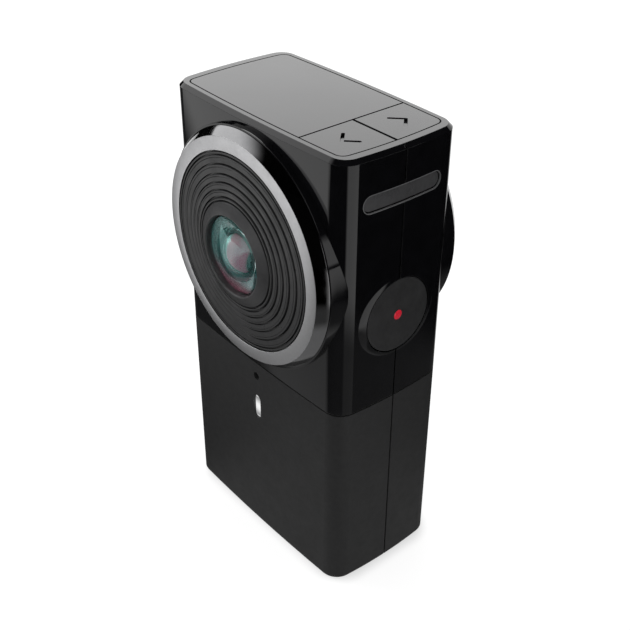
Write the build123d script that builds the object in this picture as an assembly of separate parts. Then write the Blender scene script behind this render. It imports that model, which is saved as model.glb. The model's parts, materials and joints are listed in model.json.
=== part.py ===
from build123d import *
import os
from math import asin, cos, sin, sqrt

# A hand-held 360 degree camera: a tall casing of rounded rectangular plan with a wide lens
# on the front and on the rear. Millimetres, +Z up, -Y is the front with the status light,
# +X is the side with the shutter button. The origin is the mouth of the tripod socket.

# Casing
HEIGHT = 104.0
WIDTH = 54.8
DEPTH = 30.7
FACE_CROWN = 0.68
SIDE_CROWN = 0.99
CORNER_RADIUS = 4.2
WALL = 1.8
FLOOR = 2.0
UPPER_HEIGHT_SHARE = 0.5452
SEAM_WIDTH = 0.34
SEAM_DEPTH = 0.6
TOP_BEVEL = 0.85
BASE_ROUND = 0.4
LIP_THICKNESS = 0.8
LIP_RISE = 1.5
LIP_ROOT = 2.0

# Clearances and cuts
OVERRUN = 1.0
SEAT_GAP = 0.05
PRESS_GAP = 0.02
RUNNING_GAP = 0.06
SLIDE_GAP = 0.2
FITTING_GAP = 0.25
MOVING_GAP = 0.3

# The three small switches behind the buttons
SWITCH_SIZE = 3.6
SWITCH_HEIGHT = 1.2
SWITCH_KNOB_RADIUS = 0.9
SWITCH_KNOB = 0.2
SWITCH_SPARE = 0.2

# Top plate, its display and its two buttons
PLATE_FACE_INSET = 2.15
PLATE_SIDE_INSET = 2.8
PLATE_CORNER = 1.8
PLATE_THICKNESS = 1.2
DECK_THICKNESS = 1.6
BUTTON_AREA = 12.2
BUTTON_GAP = 0.4
BUTTON_SPLIT = 0.6
BUTTON_THICKNESS = 1.4
BUTTON_TRAVEL = 0.4
BUTTON_STEM_RADIUS = 1.5
BUTTON_HOOK = 0.9
BUTTON_HOOK_THICKNESS = 0.7
ICON_WIDTH = 0.72
ICON_DEPTH = 0.55
ICON_HALF_SPAN = 2.3
ICON_RISE = 2.3
ICON_SHIFT = 0.3
DISPLAY_LENGTH_SHARE = 0.5
DISPLAY_DEPTH = 17.4
DISPLAY_THICKNESS = 1.6
TOP_BOARD_LENGTH = 7.4
TOP_BOARD_WIDTH = 22.0
TOP_BOARD_THICKNESS = 0.8

# Lens modules, as radius and as height proud of the face they stand on
RING_RADIUS_SHARE = 0.4286
LENS_TOP_MARGIN = 3.7
SPIGOT_WALL = 1.5
SPIGOT_DEPTH = 2.8
LENS_BORE_DEPTH = 3.4
FLANGE_EDGE_REACH = 1.9
FLANGE_EDGE = 1.1
FLANGE_FOOT_REACH = 2.2
FLANGE_PLATE_BACK = 0.8
FLANGE_PLATE_THICKNESS = 1.5
TRIM_SEAT_INSET = 0.15
TRIM_WIDTH = 2.9
TRIM_TOP = 3.3
TRIM_RISE = 0.12
TRIM_CHAMFER = 0.12
TRIM_BEVEL_REACH = 1.55
TRIM_LAND = 0.12
SHROUD_GAP = 0.28
SHROUD_EDGE = 3.35
SHROUD_CONE_RADIUS = 11.55
SHROUD_CONE = 4.45
SHROUD_MOUTH = 5.5
RIB_GROOVE_WIDTH = 0.24
RIB_GROOVE_DEPTH = 0.5
RIB_CHAMFER = 0.1
RIB_RADIUS_SHARES = (0.98, 0.892, 0.8, 0.722, 0.651, 0.585, 0.5469)
BARREL_WALL = 2.95
BARREL_NOSE = 3.6
BARREL_SHOULDER_WIDTH = 2.2
BARREL_SHOULDER = 1.6
BARREL_BASE_MARGIN = 1.9
BARREL_BASE = 2.0
DOME_RADIUS = 8.3
DOME_SEAT = 2.9
DOME_RIM = 4.3
DOME_SAG = 2.4
DOME_HOLLOW_RADIUS = 5.0
DOME_HOLLOW = 2.6
SECOND_RADIUS = 5.4
SECOND_BACK = 0.7
SECOND_RIM = 1.8
SECOND_SAG = 1.9
SPACER_WALL = 0.7
GROUP_RADIUS = 4.1
GROUP_RIM = 2.6
GROUP_SAG = 0.5
GROUP_PITCH = 4.2
CHAMBER_RADIUS = 6.9
CHAMBER_HEIGHT = 2.6

# Sensor boards behind the lenses, with their pads, screws and flexes
BOARD_THICKNESS = 1.0
SENSOR_BOARD_SHARE = 0.493
SENSOR_WIDTH = 10.0
SENSOR_HEIGHT = 8.6
SENSOR_THICKNESS = 1.0
PAD_SCREW_GAP = 1.2
PAD_THICKNESS = 1.4
SCREW_EDGE = 3.9
SCREW_RADIUS = 0.7
SCREW_HEAD_RADIUS = 1.4
SCREW_HEAD_HEIGHT = 0.7
SCREW_BITE = 1.6
FLEX_THICKNESS = 0.3
FLEX_WIDTH = 6.0
FLEX_LAP = 2.0
FLEX_FRONT_INSET = 2.5
FLEX_REAR_INSET = 5.5
DISPLAY_FLEX_WIDTH = 3.6
DISPLAY_FLEX_GAP = 0.6

# Chassis plate in the middle plane
CHASSIS_THICKNESS = 1.2
CHASSIS_SIDE_GAP = 0.6
CHASSIS_LIP_GAP = 0.7
BOSS_RADIUS = 2.2
BOSS_CUP_RADIUS = 2.6
BOSS_INSET = 3.5
BOSS_TOP_INSET = 2.2
BOSS_BOTTOM_INSET = 4.1
BODY_SCREW_LENGTH = 5.0

# Shutter button on the right side, as radius and as height proud of the side
SHUTTER_FROM_TOP_SHARE = 0.352
SHUTTER_RADIUS = 8.2
SHUTTER_TOP = 0.1
SHUTTER_SKIRT_REACH = 0.7
SHUTTER_SKIRT = 0.7
SHUTTER_STEM_RADIUS = 2.0
SHUTTER_TRAVEL = 0.5
SHUTTER_EDGE = 0.12
COLLAR_EDGE = 0.07
COLLAR_MIDDLE_WIDTH = 0.95
COLLAR_MIDDLE = -0.11
COLLAR_WIDTH = 1.7
COLLAR_FOOT = -0.43
COLLAR_LEDGE = 1.4
RED_RADIUS = 1.05
RED_DEPTH = 0.8
RED_DOME = 0.12
SHUTTER_BOARD_SETBACK = 8.4
SHUTTER_BOARD_THICKNESS = 0.8
SHUTTER_BOARD_WIDTH = 14.0
SHUTTER_BOARD_HEIGHT = 16.0
SHUTTER_NOTCH_MARGIN = 2.0

# Light bar in the right side
LIGHT_BAR_FROM_TOP = 9.65
LIGHT_BAR_LENGTH = 19.2
LIGHT_BAR_WIDTH = 3.1
LIGHT_BAR_GAP = 0.35
LIGHT_BAR_RECESS = 0.35
LIGHT_BAR_BACK = 2.6
LIGHT_BAR_FLANGE = 0.8
LIGHT_BOARD_THICKNESS = 0.8
LIGHT_BOARD_LENGTH = 18.0
LIGHT_BOARD_HEIGHT = 4.8
LIGHT_NOTCH_MARGIN = 0.95

# Microphone and status light on the lower front
MIC_BELOW_SEAM = 3.7
MIC_HOLE_RADIUS = 0.9
MIC_BOOT_RADIUS = 1.6
MIC_BORE_RADIUS = 0.7
MIC_CAN_SIZE = 3.2
MIC_CAN_THICKNESS = 1.1
STATUS_BELOW_SEAM = 12.2
STATUS_LENGTH = 6.4
STATUS_WIDTH = 2.4
STATUS_RECESS = 0.25
STATUS_FLANGE = 0.8

# Main board and what stands on it, placed as shares of the board's length and height, but the
# screws below the microphone at a set distance from the middle
MAIN_BOARD_SPACE = 5.55
MAIN_BOARD_LENGTH_SHARE = 0.741
MAIN_BOARD_FOOT = 7.0
MAIN_BOARD_HEAD = 1.3
MAIN_BOARD_END_GAP = 0.2
MAIN_BOSS_OFFSET = 5.5
MAIN_BOSS_X_SHARE = 0.938
MAIN_BOSS_FOOT_SHARE = 0.081
MAIN_BOSS_MIDDLE_SHARE = 0.54
MAIN_BOSS_HEAD_SHARE = 0.908
SHIELD_X_SHARES = (0.643, 0.877)
SHIELD_Z_SHARES = (0.149, 0.662)
BUZZER_X_SHARES = (0.68, 0.852)
BUZZER_Z_SHARES = (0.73, 0.919)
SHIELD_THICKNESS = 1.8
BUZZER_THICKNESS = 1.8

# Sockets behind the door, all facing -X
SOCKET_PROUD = 0.1
USB_Z_SHARE = 0.143
USB_LENGTH = 7.35
USB_WIDTH = 8.94
USB_THICKNESS = 3.26
USB_SHELL = 0.3
USB_TONGUE_WIDTH = 6.7
USB_TONGUE_THICKNESS = 0.7
USB_TONGUE_LENGTH = 5.0
VIDEO_Z_SHARE = 0.408
VIDEO_LENGTH = 7.0
VIDEO_WIDTH = 6.4
VIDEO_THICKNESS = 2.8
VIDEO_SHELL = 0.3
VIDEO_CORNER_SHARE = 0.33
VIDEO_TONGUE_WIDTH = 4.4
VIDEO_TONGUE_THICKNESS = 0.6
VIDEO_TONGUE_RECESS = 1.0
CARD_Z_SHARE = 0.7545
CARD_WIDTH = 11.0
CARD_LENGTH = 15.0
CARD_THICKNESS = 0.8
CARD_PROUD = 0.6
CARD_SLOT_WALL = 1.2
CARD_SLOT_THICKNESS = 1.6

# Battery and its tray
BATTERY_LENGTH_SHARE = 0.73
BATTERY_THICKNESS = 9.0
BATTERY_HEIGHT_SHARE = 0.698
BATTERY_REAR_SPACE = 3.35
BATTERY_RECESS = 0.2
BATTERY_ROUND = 1.2
TRAY_WALL = 0.8
TRAY_SETBACK = 2.0
TRAY_FOOT_GAP = 0.45
TRAY_FACE_EDGE = 0.6
TRAY_FACE_REACH = 1.2
CONTACT_COUNT = 4
CONTACT_PITCH = 2.6
CONTACT_WIDTH = 1.2
CONTACT_HEIGHT = 3.0
CONTACT_Z_SHARE = 0.85
CONTACT_TAIL = 0.8
RIB_X_SHARES = (0.235, 0.86)
RIB_THICKNESS = 1.4
RIB_LENGTH = 4.0

# Door over the battery bay on the left side
DOOR_EDGE_INSET = 6.0
DOOR_HINGE_INSET = 6.15
DOOR_FOOT = 5.75
DOOR_HEAD = 2.75
DOOR_GAP = 0.3
DOOR_THICKNESS = 1.6
HINGE_BARREL_RADIUS = 1.35
HINGE_INSET = 0.05
HINGE_PIN_RADIUS = 0.6
HINGE_PIN_REACH = 2.0
HINGE_LUG_HEIGHT = 2.3
HINGE_LUG_DEPTH = 3.0
DOOR_PAD_WIDTH = 5.0
DOOR_PAD_HEIGHT = 22.0
LOCK_TRAVEL = 2.0
LOCK_THUMB_INSET = 4.75
LOCK_THUMB_LENGTH = 4.0
LOCK_THUMB_HEIGHT = 7.0
LOCK_THUMB_THICKNESS = 0.7
LOCK_RECESS = 0.95
LOCK_THUMB_RIBS = 4
LOCK_RIB_WIDTH = 0.4
LOCK_RIB_DEPTH = 0.25
LOCK_STEM_WIDTH = 2.0
LOCK_STEM_HEIGHT = 3.0
LOCK_BOLT_INSET = 0.15
LOCK_BOLT_LENGTH = 8.2
LOCK_BOLT_HEIGHT = 5.0
LOCK_BOLT_SETBACK = 0.85
LOCK_BOLT_THICKNESS = 0.7

# Tripod socket in the bottom
SOCKET_RADIUS = 2.55
SOCKET_DEPTH = 7.0
BUSH_RADIUS = 4.7
BUSH_HEIGHT = 7.6
BUSH_COLLAR_REACH = 1.5
BUSH_COLLAR = 0.9
BUSH_BOSS_WALL = 1.9

OUTLINE_PASSES = 20

# Casing places worked out from the sizes above
HALF_WIDTH = WIDTH / 2
HALF_DEPTH = DEPTH / 2
FACE_ARC = (HALF_WIDTH**2 + FACE_CROWN**2) / (2 * FACE_CROWN)
SIDE_ARC = (HALF_DEPTH**2 + SIDE_CROWN**2) / (2 * SIDE_CROWN)
UPPER_HEIGHT = HEIGHT * UPPER_HEIGHT_SHARE
SEAM_HEIGHT = HEIGHT - UPPER_HEIGHT
INSIDE_LEFT = WALL - HALF_WIDTH

# Top places
DECK_TOP = HEIGHT - PLATE_THICKNESS
DECK_UNDERSIDE = DECK_TOP - DECK_THICKNESS
PLATE_END = HALF_WIDTH - PLATE_SIDE_INSET
WINDOW_END = PLATE_END - BUTTON_AREA
BUTTON_START = WINDOW_END + BUTTON_GAP
BUTTON_X = (BUTTON_START + PLATE_END) / 2
BUTTON_Y = (HALF_DEPTH - PLATE_FACE_INSET) / 2
BUTTON_BOTTOM = HEIGHT - BUTTON_THICKNESS
BUTTON_FLOOR = BUTTON_BOTTOM - BUTTON_TRAVEL - SWITCH_SPARE
STEM_BOTTOM = DECK_UNDERSIDE - MOVING_GAP - BUTTON_HOOK_THICKNESS
TOP_SWITCH_FOOT = STEM_BOTTOM - BUTTON_TRAVEL - SWITCH_SPARE - SWITCH_HEIGHT
DISPLAY_X = (WINDOW_END - PLATE_END) / 2
DISPLAY_LENGTH = WIDTH * DISPLAY_LENGTH_SHARE
DISPLAY_BOTTOM = DECK_TOP - DISPLAY_THICKNESS

# Lens places
RING_RADIUS = UPPER_HEIGHT * RING_RADIUS_SHARE
FLANGE_EDGE_RADIUS = RING_RADIUS + FLANGE_EDGE_REACH
FLANGE_FOOT_RADIUS = RING_RADIUS + FLANGE_FOOT_REACH
LENS_HEIGHT = HEIGHT - RING_RADIUS - LENS_TOP_MARGIN
LENS_BORE = RING_RADIUS + SEAT_GAP
FLANGE_PLATE_FRONT = FLANGE_PLATE_BACK + FLANGE_PLATE_THICKNESS
TRIM_SEAT = RING_RADIUS - TRIM_SEAT_INSET
TRIM_INNER = RING_RADIUS - TRIM_WIDTH
TRIM_EDGE = RING_RADIUS + TRIM_BEVEL_REACH
SHROUD_RADIUS = TRIM_INNER - SHROUD_GAP
SHROUD_MOUTH_RADIUS = DOME_RADIUS + MOVING_GAP
SHROUD_UNDERCUT = BARREL_NOSE + SEAT_GAP
BARREL_RADIUS = DOME_RADIUS + SEAT_GAP + BARREL_WALL
BARREL_HOLE = BARREL_RADIUS + FITTING_GAP
HALF_CHASSIS = CHASSIS_THICKNESS / 2
SENSOR_BOARD_BACK = HALF_CHASSIS + PAD_THICKNESS
BARREL_BACK = SENSOR_BOARD_BACK + BOARD_THICKNESS - HALF_DEPTH
CHAMBER_TOP = BARREL_BACK + CHAMBER_HEIGHT
GROUP_BACK = CHAMBER_TOP + GROUP_SAG + FITTING_GAP
SENSOR_BOARD_SIZE = WIDTH * SENSOR_BOARD_SHARE
LENS_SCREW_OFFSET = SENSOR_BOARD_SIZE / 2 - SCREW_EDGE
BARREL_BASE_RADIUS = sqrt(2) * LENS_SCREW_OFFSET + BARREL_BASE_MARGIN
PAD_SIZE = 2 * (LENS_SCREW_OFFSET - SCREW_HEAD_RADIUS - PAD_SCREW_GAP)

# Shutter and light bar places
SHUTTER_HEIGHT = HEIGHT - HEIGHT * SHUTTER_FROM_TOP_SHARE
SHUTTER_BORE = SHUTTER_RADIUS + SLIDE_GAP
SHUTTER_SKIRT_RADIUS = SHUTTER_RADIUS + SHUTTER_SKIRT_REACH
SHUTTER_NOTCH_X = HALF_WIDTH - SHUTTER_BOARD_SETBACK
SHUTTER_SWITCH_FOOT = SHUTTER_NOTCH_X + SHUTTER_BOARD_THICKNESS
SHUTTER_STEM_END = SHUTTER_SWITCH_FOOT + SWITCH_HEIGHT + SWITCH_SPARE + SHUTTER_TRAVEL - HALF_WIDTH
LIGHT_BAR_HEIGHT = HEIGHT - LIGHT_BAR_FROM_TOP
LIGHT_BOARD_X = HALF_WIDTH - LIGHT_BAR_BACK - LIGHT_BOARD_THICKNESS
LIGHT_NOTCH_BOTTOM = LIGHT_BAR_HEIGHT - LIGHT_BOARD_HEIGHT / 2 - LIGHT_NOTCH_MARGIN

# Chassis places
CHASSIS_END = HALF_WIDTH - WALL - CHASSIS_SIDE_GAP
CHASSIS_BOTTOM = SEAM_HEIGHT + LIP_RISE + CHASSIS_LIP_GAP
CHASSIS_TOP = TOP_SWITCH_FOOT - TOP_BOARD_THICKNESS
BOSS_X = CHASSIS_END - BOSS_INSET
BOSS_TOP_Z = CHASSIS_TOP - BOSS_TOP_INSET
BOSS_BOTTOM_Z = CHASSIS_BOTTOM + BOSS_BOTTOM_INSET

# Places of the door, the tray and the lock
DOOR_FREE_EDGE = DOOR_EDGE_INSET - HALF_DEPTH
DOOR_HINGE_Y = HALF_DEPTH - DOOR_HINGE_INSET
DOOR_BOTTOM = FLOOR + DOOR_FOOT
DOOR_TOP = SEAM_HEIGHT - DOOR_HEAD
DOOR_MIDDLE = (DOOR_BOTTOM + DOOR_TOP) / 2
DOOR_PAD_END = DOOR_HINGE_Y - HINGE_BARREL_RADIUS - FITTING_GAP
TRAY_FACE = INSIDE_LEFT + TRAY_SETBACK
TRAY_BOTTOM = BUSH_HEIGHT + BUSH_COLLAR + TRAY_FOOT_GAP
BATTERY_LEFT = TRAY_FACE + BATTERY_RECESS
BATTERY_REAR = HALF_DEPTH - WALL - BATTERY_REAR_SPACE
BATTERY_BOTTOM = TRAY_BOTTOM + TRAY_WALL + FITTING_GAP
BATTERY_LENGTH = WIDTH * BATTERY_LENGTH_SHARE
BATTERY_HEIGHT = SEAM_HEIGHT * BATTERY_HEIGHT_SHARE
BATTERY_X = (BATTERY_LEFT, BATTERY_LEFT + BATTERY_LENGTH)
BATTERY_Y = (BATTERY_REAR - BATTERY_THICKNESS, BATTERY_REAR)
BATTERY_Z = (BATTERY_BOTTOM, BATTERY_BOTTOM + BATTERY_HEIGHT)
LOCK_THUMB_START = DOOR_FREE_EDGE + LOCK_THUMB_INSET
LOCK_THUMB_Y = (LOCK_THUMB_START, LOCK_THUMB_START + LOCK_THUMB_LENGTH)
LOCK_BOLT_TIP = DOOR_FREE_EDGE + LOCK_BOLT_INSET
LOCK_BOLT_FACE = INSIDE_LEFT + LOCK_BOLT_SETBACK
LOCK_BOLT_X = (LOCK_BOLT_FACE, LOCK_BOLT_FACE + LOCK_BOLT_THICKNESS)

# Places of the main board and the sockets
MAIN_BOARD_FRONT = MAIN_BOARD_SPACE + WALL - HALF_DEPTH
MAIN_BOARD_BACK = MAIN_BOARD_FRONT + BOARD_THICKNESS
MAIN_BOARD_LEFT = TRAY_FACE + TRAY_WALL + MAIN_BOARD_END_GAP
MAIN_BOARD_LENGTH = WIDTH * MAIN_BOARD_LENGTH_SHARE
MAIN_BOARD_BOTTOM = FLOOR + MAIN_BOARD_FOOT
MAIN_BOARD_TOP = SEAM_HEIGHT - MAIN_BOARD_HEAD
MAIN_BOARD_HEIGHT = MAIN_BOARD_TOP - MAIN_BOARD_BOTTOM
SOCKET_FACE = TRAY_FACE - SOCKET_PROUD
USB_Z = MAIN_BOARD_BOTTOM + USB_Z_SHARE * MAIN_BOARD_HEIGHT
VIDEO_Z = MAIN_BOARD_BOTTOM + VIDEO_Z_SHARE * MAIN_BOARD_HEIGHT
CARD_Z = MAIN_BOARD_BOTTOM + CARD_Z_SHARE * MAIN_BOARD_HEIGHT
CARD_SLOT_WIDTH = CARD_WIDTH + 2 * (SEAT_GAP + CARD_SLOT_WALL)
MIC_HEIGHT = SEAM_HEIGHT - MIC_BELOW_SEAM
STATUS_HEIGHT = SEAM_HEIGHT - STATUS_BELOW_SEAM


def crowned_outline(face_inset, side_inset, corner_radius):
    """The casing's plan moved in by these amounts: four shallow arcs with rounded corners."""
    face_arc = FACE_ARC - face_inset
    side_arc = SIDE_ARC - side_inset
    x = HALF_WIDTH - side_inset
    y = 0
    for _ in range(OUTLINE_PASSES):
        y = sqrt(face_arc**2 - x**2) - (FACE_ARC - HALF_DEPTH)
        x = sqrt(side_arc**2 - y**2) - (SIDE_ARC - HALF_WIDTH)
    front = ThreePointArc((-x, -y), (0, face_inset - HALF_DEPTH), (x, -y))
    right = ThreePointArc((x, -y), (HALF_WIDTH - side_inset, 0), (x, y))
    back = ThreePointArc((x, y), (0, HALF_DEPTH - face_inset), (-x, y))
    left = ThreePointArc((-x, y), (side_inset - HALF_WIDTH, 0), (-x, -y))
    plan = make_face([front, right, back, left])
    return fillet(plan.vertices(), corner_radius)


def crowned_prism(inset, bottom, top):
    """A prism of the casing's plan, moved in evenly."""
    plan = crowned_outline(inset, inset, CORNER_RADIUS - inset)
    return Pos(0, 0, bottom) * extrude(plan, amount=top - bottom)


def casing_block():
    """The whole casing as one solid, with its bevelled top and rounded foot."""
    block = crowned_prism(0, 0, HEIGHT)
    block = chamfer(block.faces().sort_by(Axis.Z)[-1].edges(), length=TOP_BEVEL)
    return fillet(block.faces().sort_by(Axis.Z)[0].edges(), radius=BASE_ROUND)


CASING = casing_block()


def box_between(x_span, y_span, z_span):
    """A box from its lowest to its highest corner."""
    spans = (x_span, y_span, z_span)
    size = [high - low for low, high in spans]
    middle = [(high + low) / 2 for low, high in spans]
    return Pos(*middle) * Box(*size)


def span(middle, size):
    """The two ends of a size set about its middle."""
    return (middle - size / 2, middle + size / 2)


def rod_z(x, y, radius, bottom, top):
    """A round rod along Z."""
    rod = Cylinder(radius, top - bottom, align=(Align.CENTER, Align.CENTER, Align.MIN))
    return Pos(x, y, bottom) * rod


def rod_y(x, z, radius, start, end):
    """A round rod along Y."""
    rod = Cylinder(radius, end - start, align=(Align.CENTER, Align.CENTER, Align.MIN))
    return Plane(origin=(x, start, z), x_dir=(1, 0, 0), z_dir=(0, 1, 0)) * rod


def half(front):
    """A box that holds one half of the camera, cut in the plane of the vertical seam."""
    reach = HEIGHT + OVERRUN
    y_span = (-reach, 0) if front else (0, reach)
    return box_between((-reach, reach), y_span, (-reach, reach))


def turned(points, seat):
    """A solid turned about the seat's normal from a profile of radius and height."""
    profile = Plane.XZ * make_face(Polyline(*points, close=True))
    return seat * revolve(profile, axis=Axis.Z)


def dome_arc(radius, rim, sag):
    """Half of a lens surface, from its middle to its rim, bulging by the sag."""
    ball = (radius**2 + sag**2) / (2 * abs(sag))
    side = 1 if sag > 0 else -1
    turn = asin(radius / ball) / 2
    centre = rim + sag - side * ball
    halfway = (ball * sin(turn), centre + side * ball * cos(turn))
    return ThreePointArc((0, rim + sag), halfway, (radius, rim))


def lens_element(radius, back, rim, front_sag, back_radius, back_sag, seat):
    """A round lens with a curved front, and a curved back inside a flat ring."""
    front = dome_arc(radius, rim, front_sag)
    hollow = dome_arc(back_radius, back, back_sag)
    edges = [front, Line((radius, rim), (radius, back)), hollow]
    if radius > back_radius:
        edges.append(Line((radius, back), (back_radius, back)))
    edges.append(Line((0, back + back_sag), (0, rim + front_sag)))
    profile = Plane.XZ * make_face(edges)
    return seat * revolve(profile, axis=Axis.Z)


def lens_seat(front):
    """The middle of a lens on the face it stands on: X across, Y up, Z proud of the face."""
    side = -1 if front else 1
    return Plane(origin=(0, side * HALF_DEPTH, LENS_HEIGHT), x_dir=(-side, 0, 0), z_dir=(0, side, 0))


SHUTTER_SEAT = Plane(origin=(HALF_WIDTH, 0, SHUTTER_HEIGHT), x_dir=(0, 1, 0), z_dir=(1, 0, 0))
LIGHT_SEAT = Plane(origin=(HALF_WIDTH, 0, LIGHT_BAR_HEIGHT), x_dir=(0, 1, 0), z_dir=(1, 0, 0))
STATUS_SEAT = Plane(origin=(0, -HALF_DEPTH, STATUS_HEIGHT), x_dir=(0, 0, 1), z_dir=(0, -1, 0))
MIC_SEAT = Plane(origin=(0, -HALF_DEPTH, MIC_HEIGHT), x_dir=(1, 0, 0), z_dir=(0, -1, 0))


def seam_grooves():
    """The fine grooves where the four casing shells meet."""
    low, high = span(SEAM_HEIGHT, SEAM_WIDTH)
    ring = crowned_prism(-OVERRUN, low, high) - crowned_prism(SEAM_DEPTH, low, high)
    right = box_between((HALF_WIDTH - SEAM_DEPTH, WIDTH), span(0, SEAM_WIDTH), (0, HEIGHT))
    left = box_between((-WIDTH, SEAM_DEPTH - HALF_WIDTH), span(0, SEAM_WIDTH), (0, HEIGHT))
    return [ring, right, left]


# Casing shells


def plate_outline(spare):
    """The outline of the window and buttons on the top, grown by a spare gap."""
    face_inset = PLATE_FACE_INSET - spare
    side_inset = PLATE_SIDE_INSET - spare
    return crowned_outline(face_inset, side_inset, PLATE_CORNER + spare)


def light_pill(spare, start, end):
    """The light bar's pill shape through the side, from one height to another."""
    pill = SlotOverall(LIGHT_BAR_LENGTH + 2 * spare, LIGHT_BAR_WIDTH + 2 * spare)
    return LIGHT_SEAT * Pos(0, 0, start) * extrude(pill, amount=end - start)


def status_pill(spare, start, end):
    """The status light's pill shape through the front wall."""
    pill = SlotOverall(STATUS_LENGTH + 2 * spare, STATUS_WIDTH + 2 * spare)
    return STATUS_SEAT * Pos(0, 0, start) * extrude(pill, amount=end - start)


def display_opening(spare, low, high):
    """The display's outline, grown by a spare gap."""
    x_span = span(DISPLAY_X, DISPLAY_LENGTH + 2 * spare)
    y_span = span(0, DISPLAY_DEPTH + 2 * spare)
    return box_between(x_span, y_span, (low, high))


def chassis_boss_places():
    """Where the chassis is screwed down, clear of the shutter and the light bar."""
    return [(-BOSS_X, BOSS_TOP_Z), (-BOSS_X, BOSS_BOTTOM_Z), (BOSS_X, BOSS_BOTTOM_Z)]


def shutter_collar():
    """The raised collar that the casing has around the shutter button."""
    rim = (SHUTTER_BORE + COLLAR_EDGE, SHUTTER_TOP)
    foot = (SHUTTER_BORE + COLLAR_WIDTH, COLLAR_FOOT)
    slope = ThreePointArc(rim, (SHUTTER_BORE + COLLAR_MIDDLE_WIDTH, COLLAR_MIDDLE), foot)
    core = SHUTTER_BORE - OVERRUN
    sides = Polyline(foot, (foot[0], -COLLAR_LEDGE), (core, -COLLAR_LEDGE))
    top = Polyline((core, -COLLAR_LEDGE), (core, SHUTTER_TOP), rim)
    profile = Plane.XZ * make_face([slope, *sides.edges(), *top.edges()])
    return SHUTTER_SEAT * revolve(profile, axis=Axis.Z)


def shutter_opening():
    """The shutter button's bore, with the wider space for its skirt behind a ledge."""
    bore = Cylinder(SHUTTER_BORE, 2 * (WALL + OVERRUN))
    top_inwards = (Align.CENTER, Align.CENTER, Align.MAX)
    space = Cylinder(SHUTTER_SKIRT_RADIUS + SLIDE_GAP, WALL + OVERRUN, align=top_inwards)
    return SHUTTER_SEAT * (bore + Pos(0, 0, -COLLAR_LEDGE) * space)


def lens_bore(front):
    """The round opening that a lens module fits into."""
    bore = Cylinder(LENS_BORE, LENS_BORE_DEPTH + OVERRUN, align=(Align.CENTER, Align.CENTER, Align.MIN))
    return lens_seat(front) * Pos(0, 0, -LENS_BORE_DEPTH) * bore


def upper_casing():
    """The glossy upper half of the casing, before it is split."""
    shell = CASING & crowned_prism(-OVERRUN, SEAM_HEIGHT, HEIGHT + OVERRUN)
    shell -= crowned_prism(WALL, SEAM_HEIGHT - OVERRUN, DECK_UNDERSIDE)
    recess = plate_outline(MOVING_GAP)
    shell -= Pos(0, 0, DECK_TOP) * extrude(recess, amount=PLATE_THICKNESS + OVERRUN)
    pocket = Pos(0, 0, BUTTON_FLOOR) * extrude(recess, amount=HEIGHT - BUTTON_FLOOR)
    shell -= pocket & box_between((WINDOW_END, WIDTH), (-DEPTH, DEPTH), (0, HEIGHT + OVERRUN))
    shell -= display_opening(MOVING_GAP, DECK_UNDERSIDE - OVERRUN, DECK_TOP + OVERRUN)
    for side in (-1, 1):
        stem_hole = BUTTON_STEM_RADIUS + MOVING_GAP
        shell -= rod_z(BUTTON_X, side * BUTTON_Y, stem_hole, STEM_BOTTOM, DECK_TOP)
    for front in (True, False):
        shell -= lens_bore(front)
    shell += shutter_collar()
    shell -= shutter_opening()
    shell -= light_pill(LIGHT_BAR_GAP, -WALL - OVERRUN, OVERRUN)
    for groove in seam_grooves():
        shell -= groove
    return shell


def upper_shell(casing, front):
    """Half of the upper casing, with the bosses that carry the chassis."""
    side = -1 if front else 1
    shell = casing & half(front)
    inside = crowned_prism(WALL / 2, SEAM_HEIGHT, DECK_UNDERSIDE) - lens_bore(front)
    for x, z in chassis_boss_places():
        radius = BOSS_RADIUS if front else BOSS_CUP_RADIUS
        hole = SCREW_RADIUS + PRESS_GAP if front else SCREW_HEAD_RADIUS + MOVING_GAP
        length = BODY_SCREW_LENGTH if front else HALF_CHASSIS + SCREW_HEAD_HEIGHT + MOVING_GAP
        ends = sorted((side * HALF_CHASSIS, side * HALF_DEPTH))
        hole_ends = sorted((0, side * length))
        shell += rod_y(x, z, radius, *ends) & inside
        shell -= rod_y(x, z, hole, *hole_ends)
    return shell


def tray_ribs():
    """The ribs on the floor that the battery tray stands on."""
    rear = BATTERY_REAR + FITTING_GAP + TRAY_WALL
    places = [BATTERY_LEFT + share * BATTERY_LENGTH for share in RIB_X_SHARES]
    size = ((rear - RIB_LENGTH, rear), (FLOOR, TRAY_BOTTOM))
    return [box_between(span(x, RIB_THICKNESS), *size) for x in places]


def hinge_place():
    """The door hinge's axis, set so that the barrel is flush with the side."""
    surface = sqrt(SIDE_ARC**2 - DOOR_HINGE_Y**2) - (SIDE_ARC - HALF_WIDTH)
    return (HINGE_BARREL_RADIUS + HINGE_INSET - surface, DOOR_HINGE_Y)


def door_opening():
    """The opening in the left side, with the room that the hinge barrel and the door need."""
    x, y = hinge_place()
    reach = HINGE_BARREL_RADIUS + DOOR_GAP
    z_span = (DOOR_BOTTOM - DOOR_GAP, DOOR_TOP + DOOR_GAP)
    opening = box_between((-WIDTH, INSIDE_LEFT + OVERRUN), (DOOR_FREE_EDGE - DOOR_GAP, y), z_span)
    opening += box_between((-WIDTH, x), (y, y + reach), z_span)
    return opening + rod_z(x, y, reach, *z_span)


def hinge_lugs():
    """The two lugs that hold the hinge pin's ends."""
    x, y = hinge_place()
    x_span = (-HALF_WIDTH, x + HINGE_LUG_DEPTH / 2)
    y_span = (y - HINGE_LUG_DEPTH / 2, HALF_DEPTH)
    low = DOOR_BOTTOM - DOOR_GAP
    high = DOOR_TOP + DOOR_GAP
    lower = box_between(x_span, y_span, (low - HINGE_LUG_HEIGHT, low))
    upper = box_between(x_span, y_span, (high, high + HINGE_LUG_HEIGHT))
    return [lower, upper]


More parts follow.
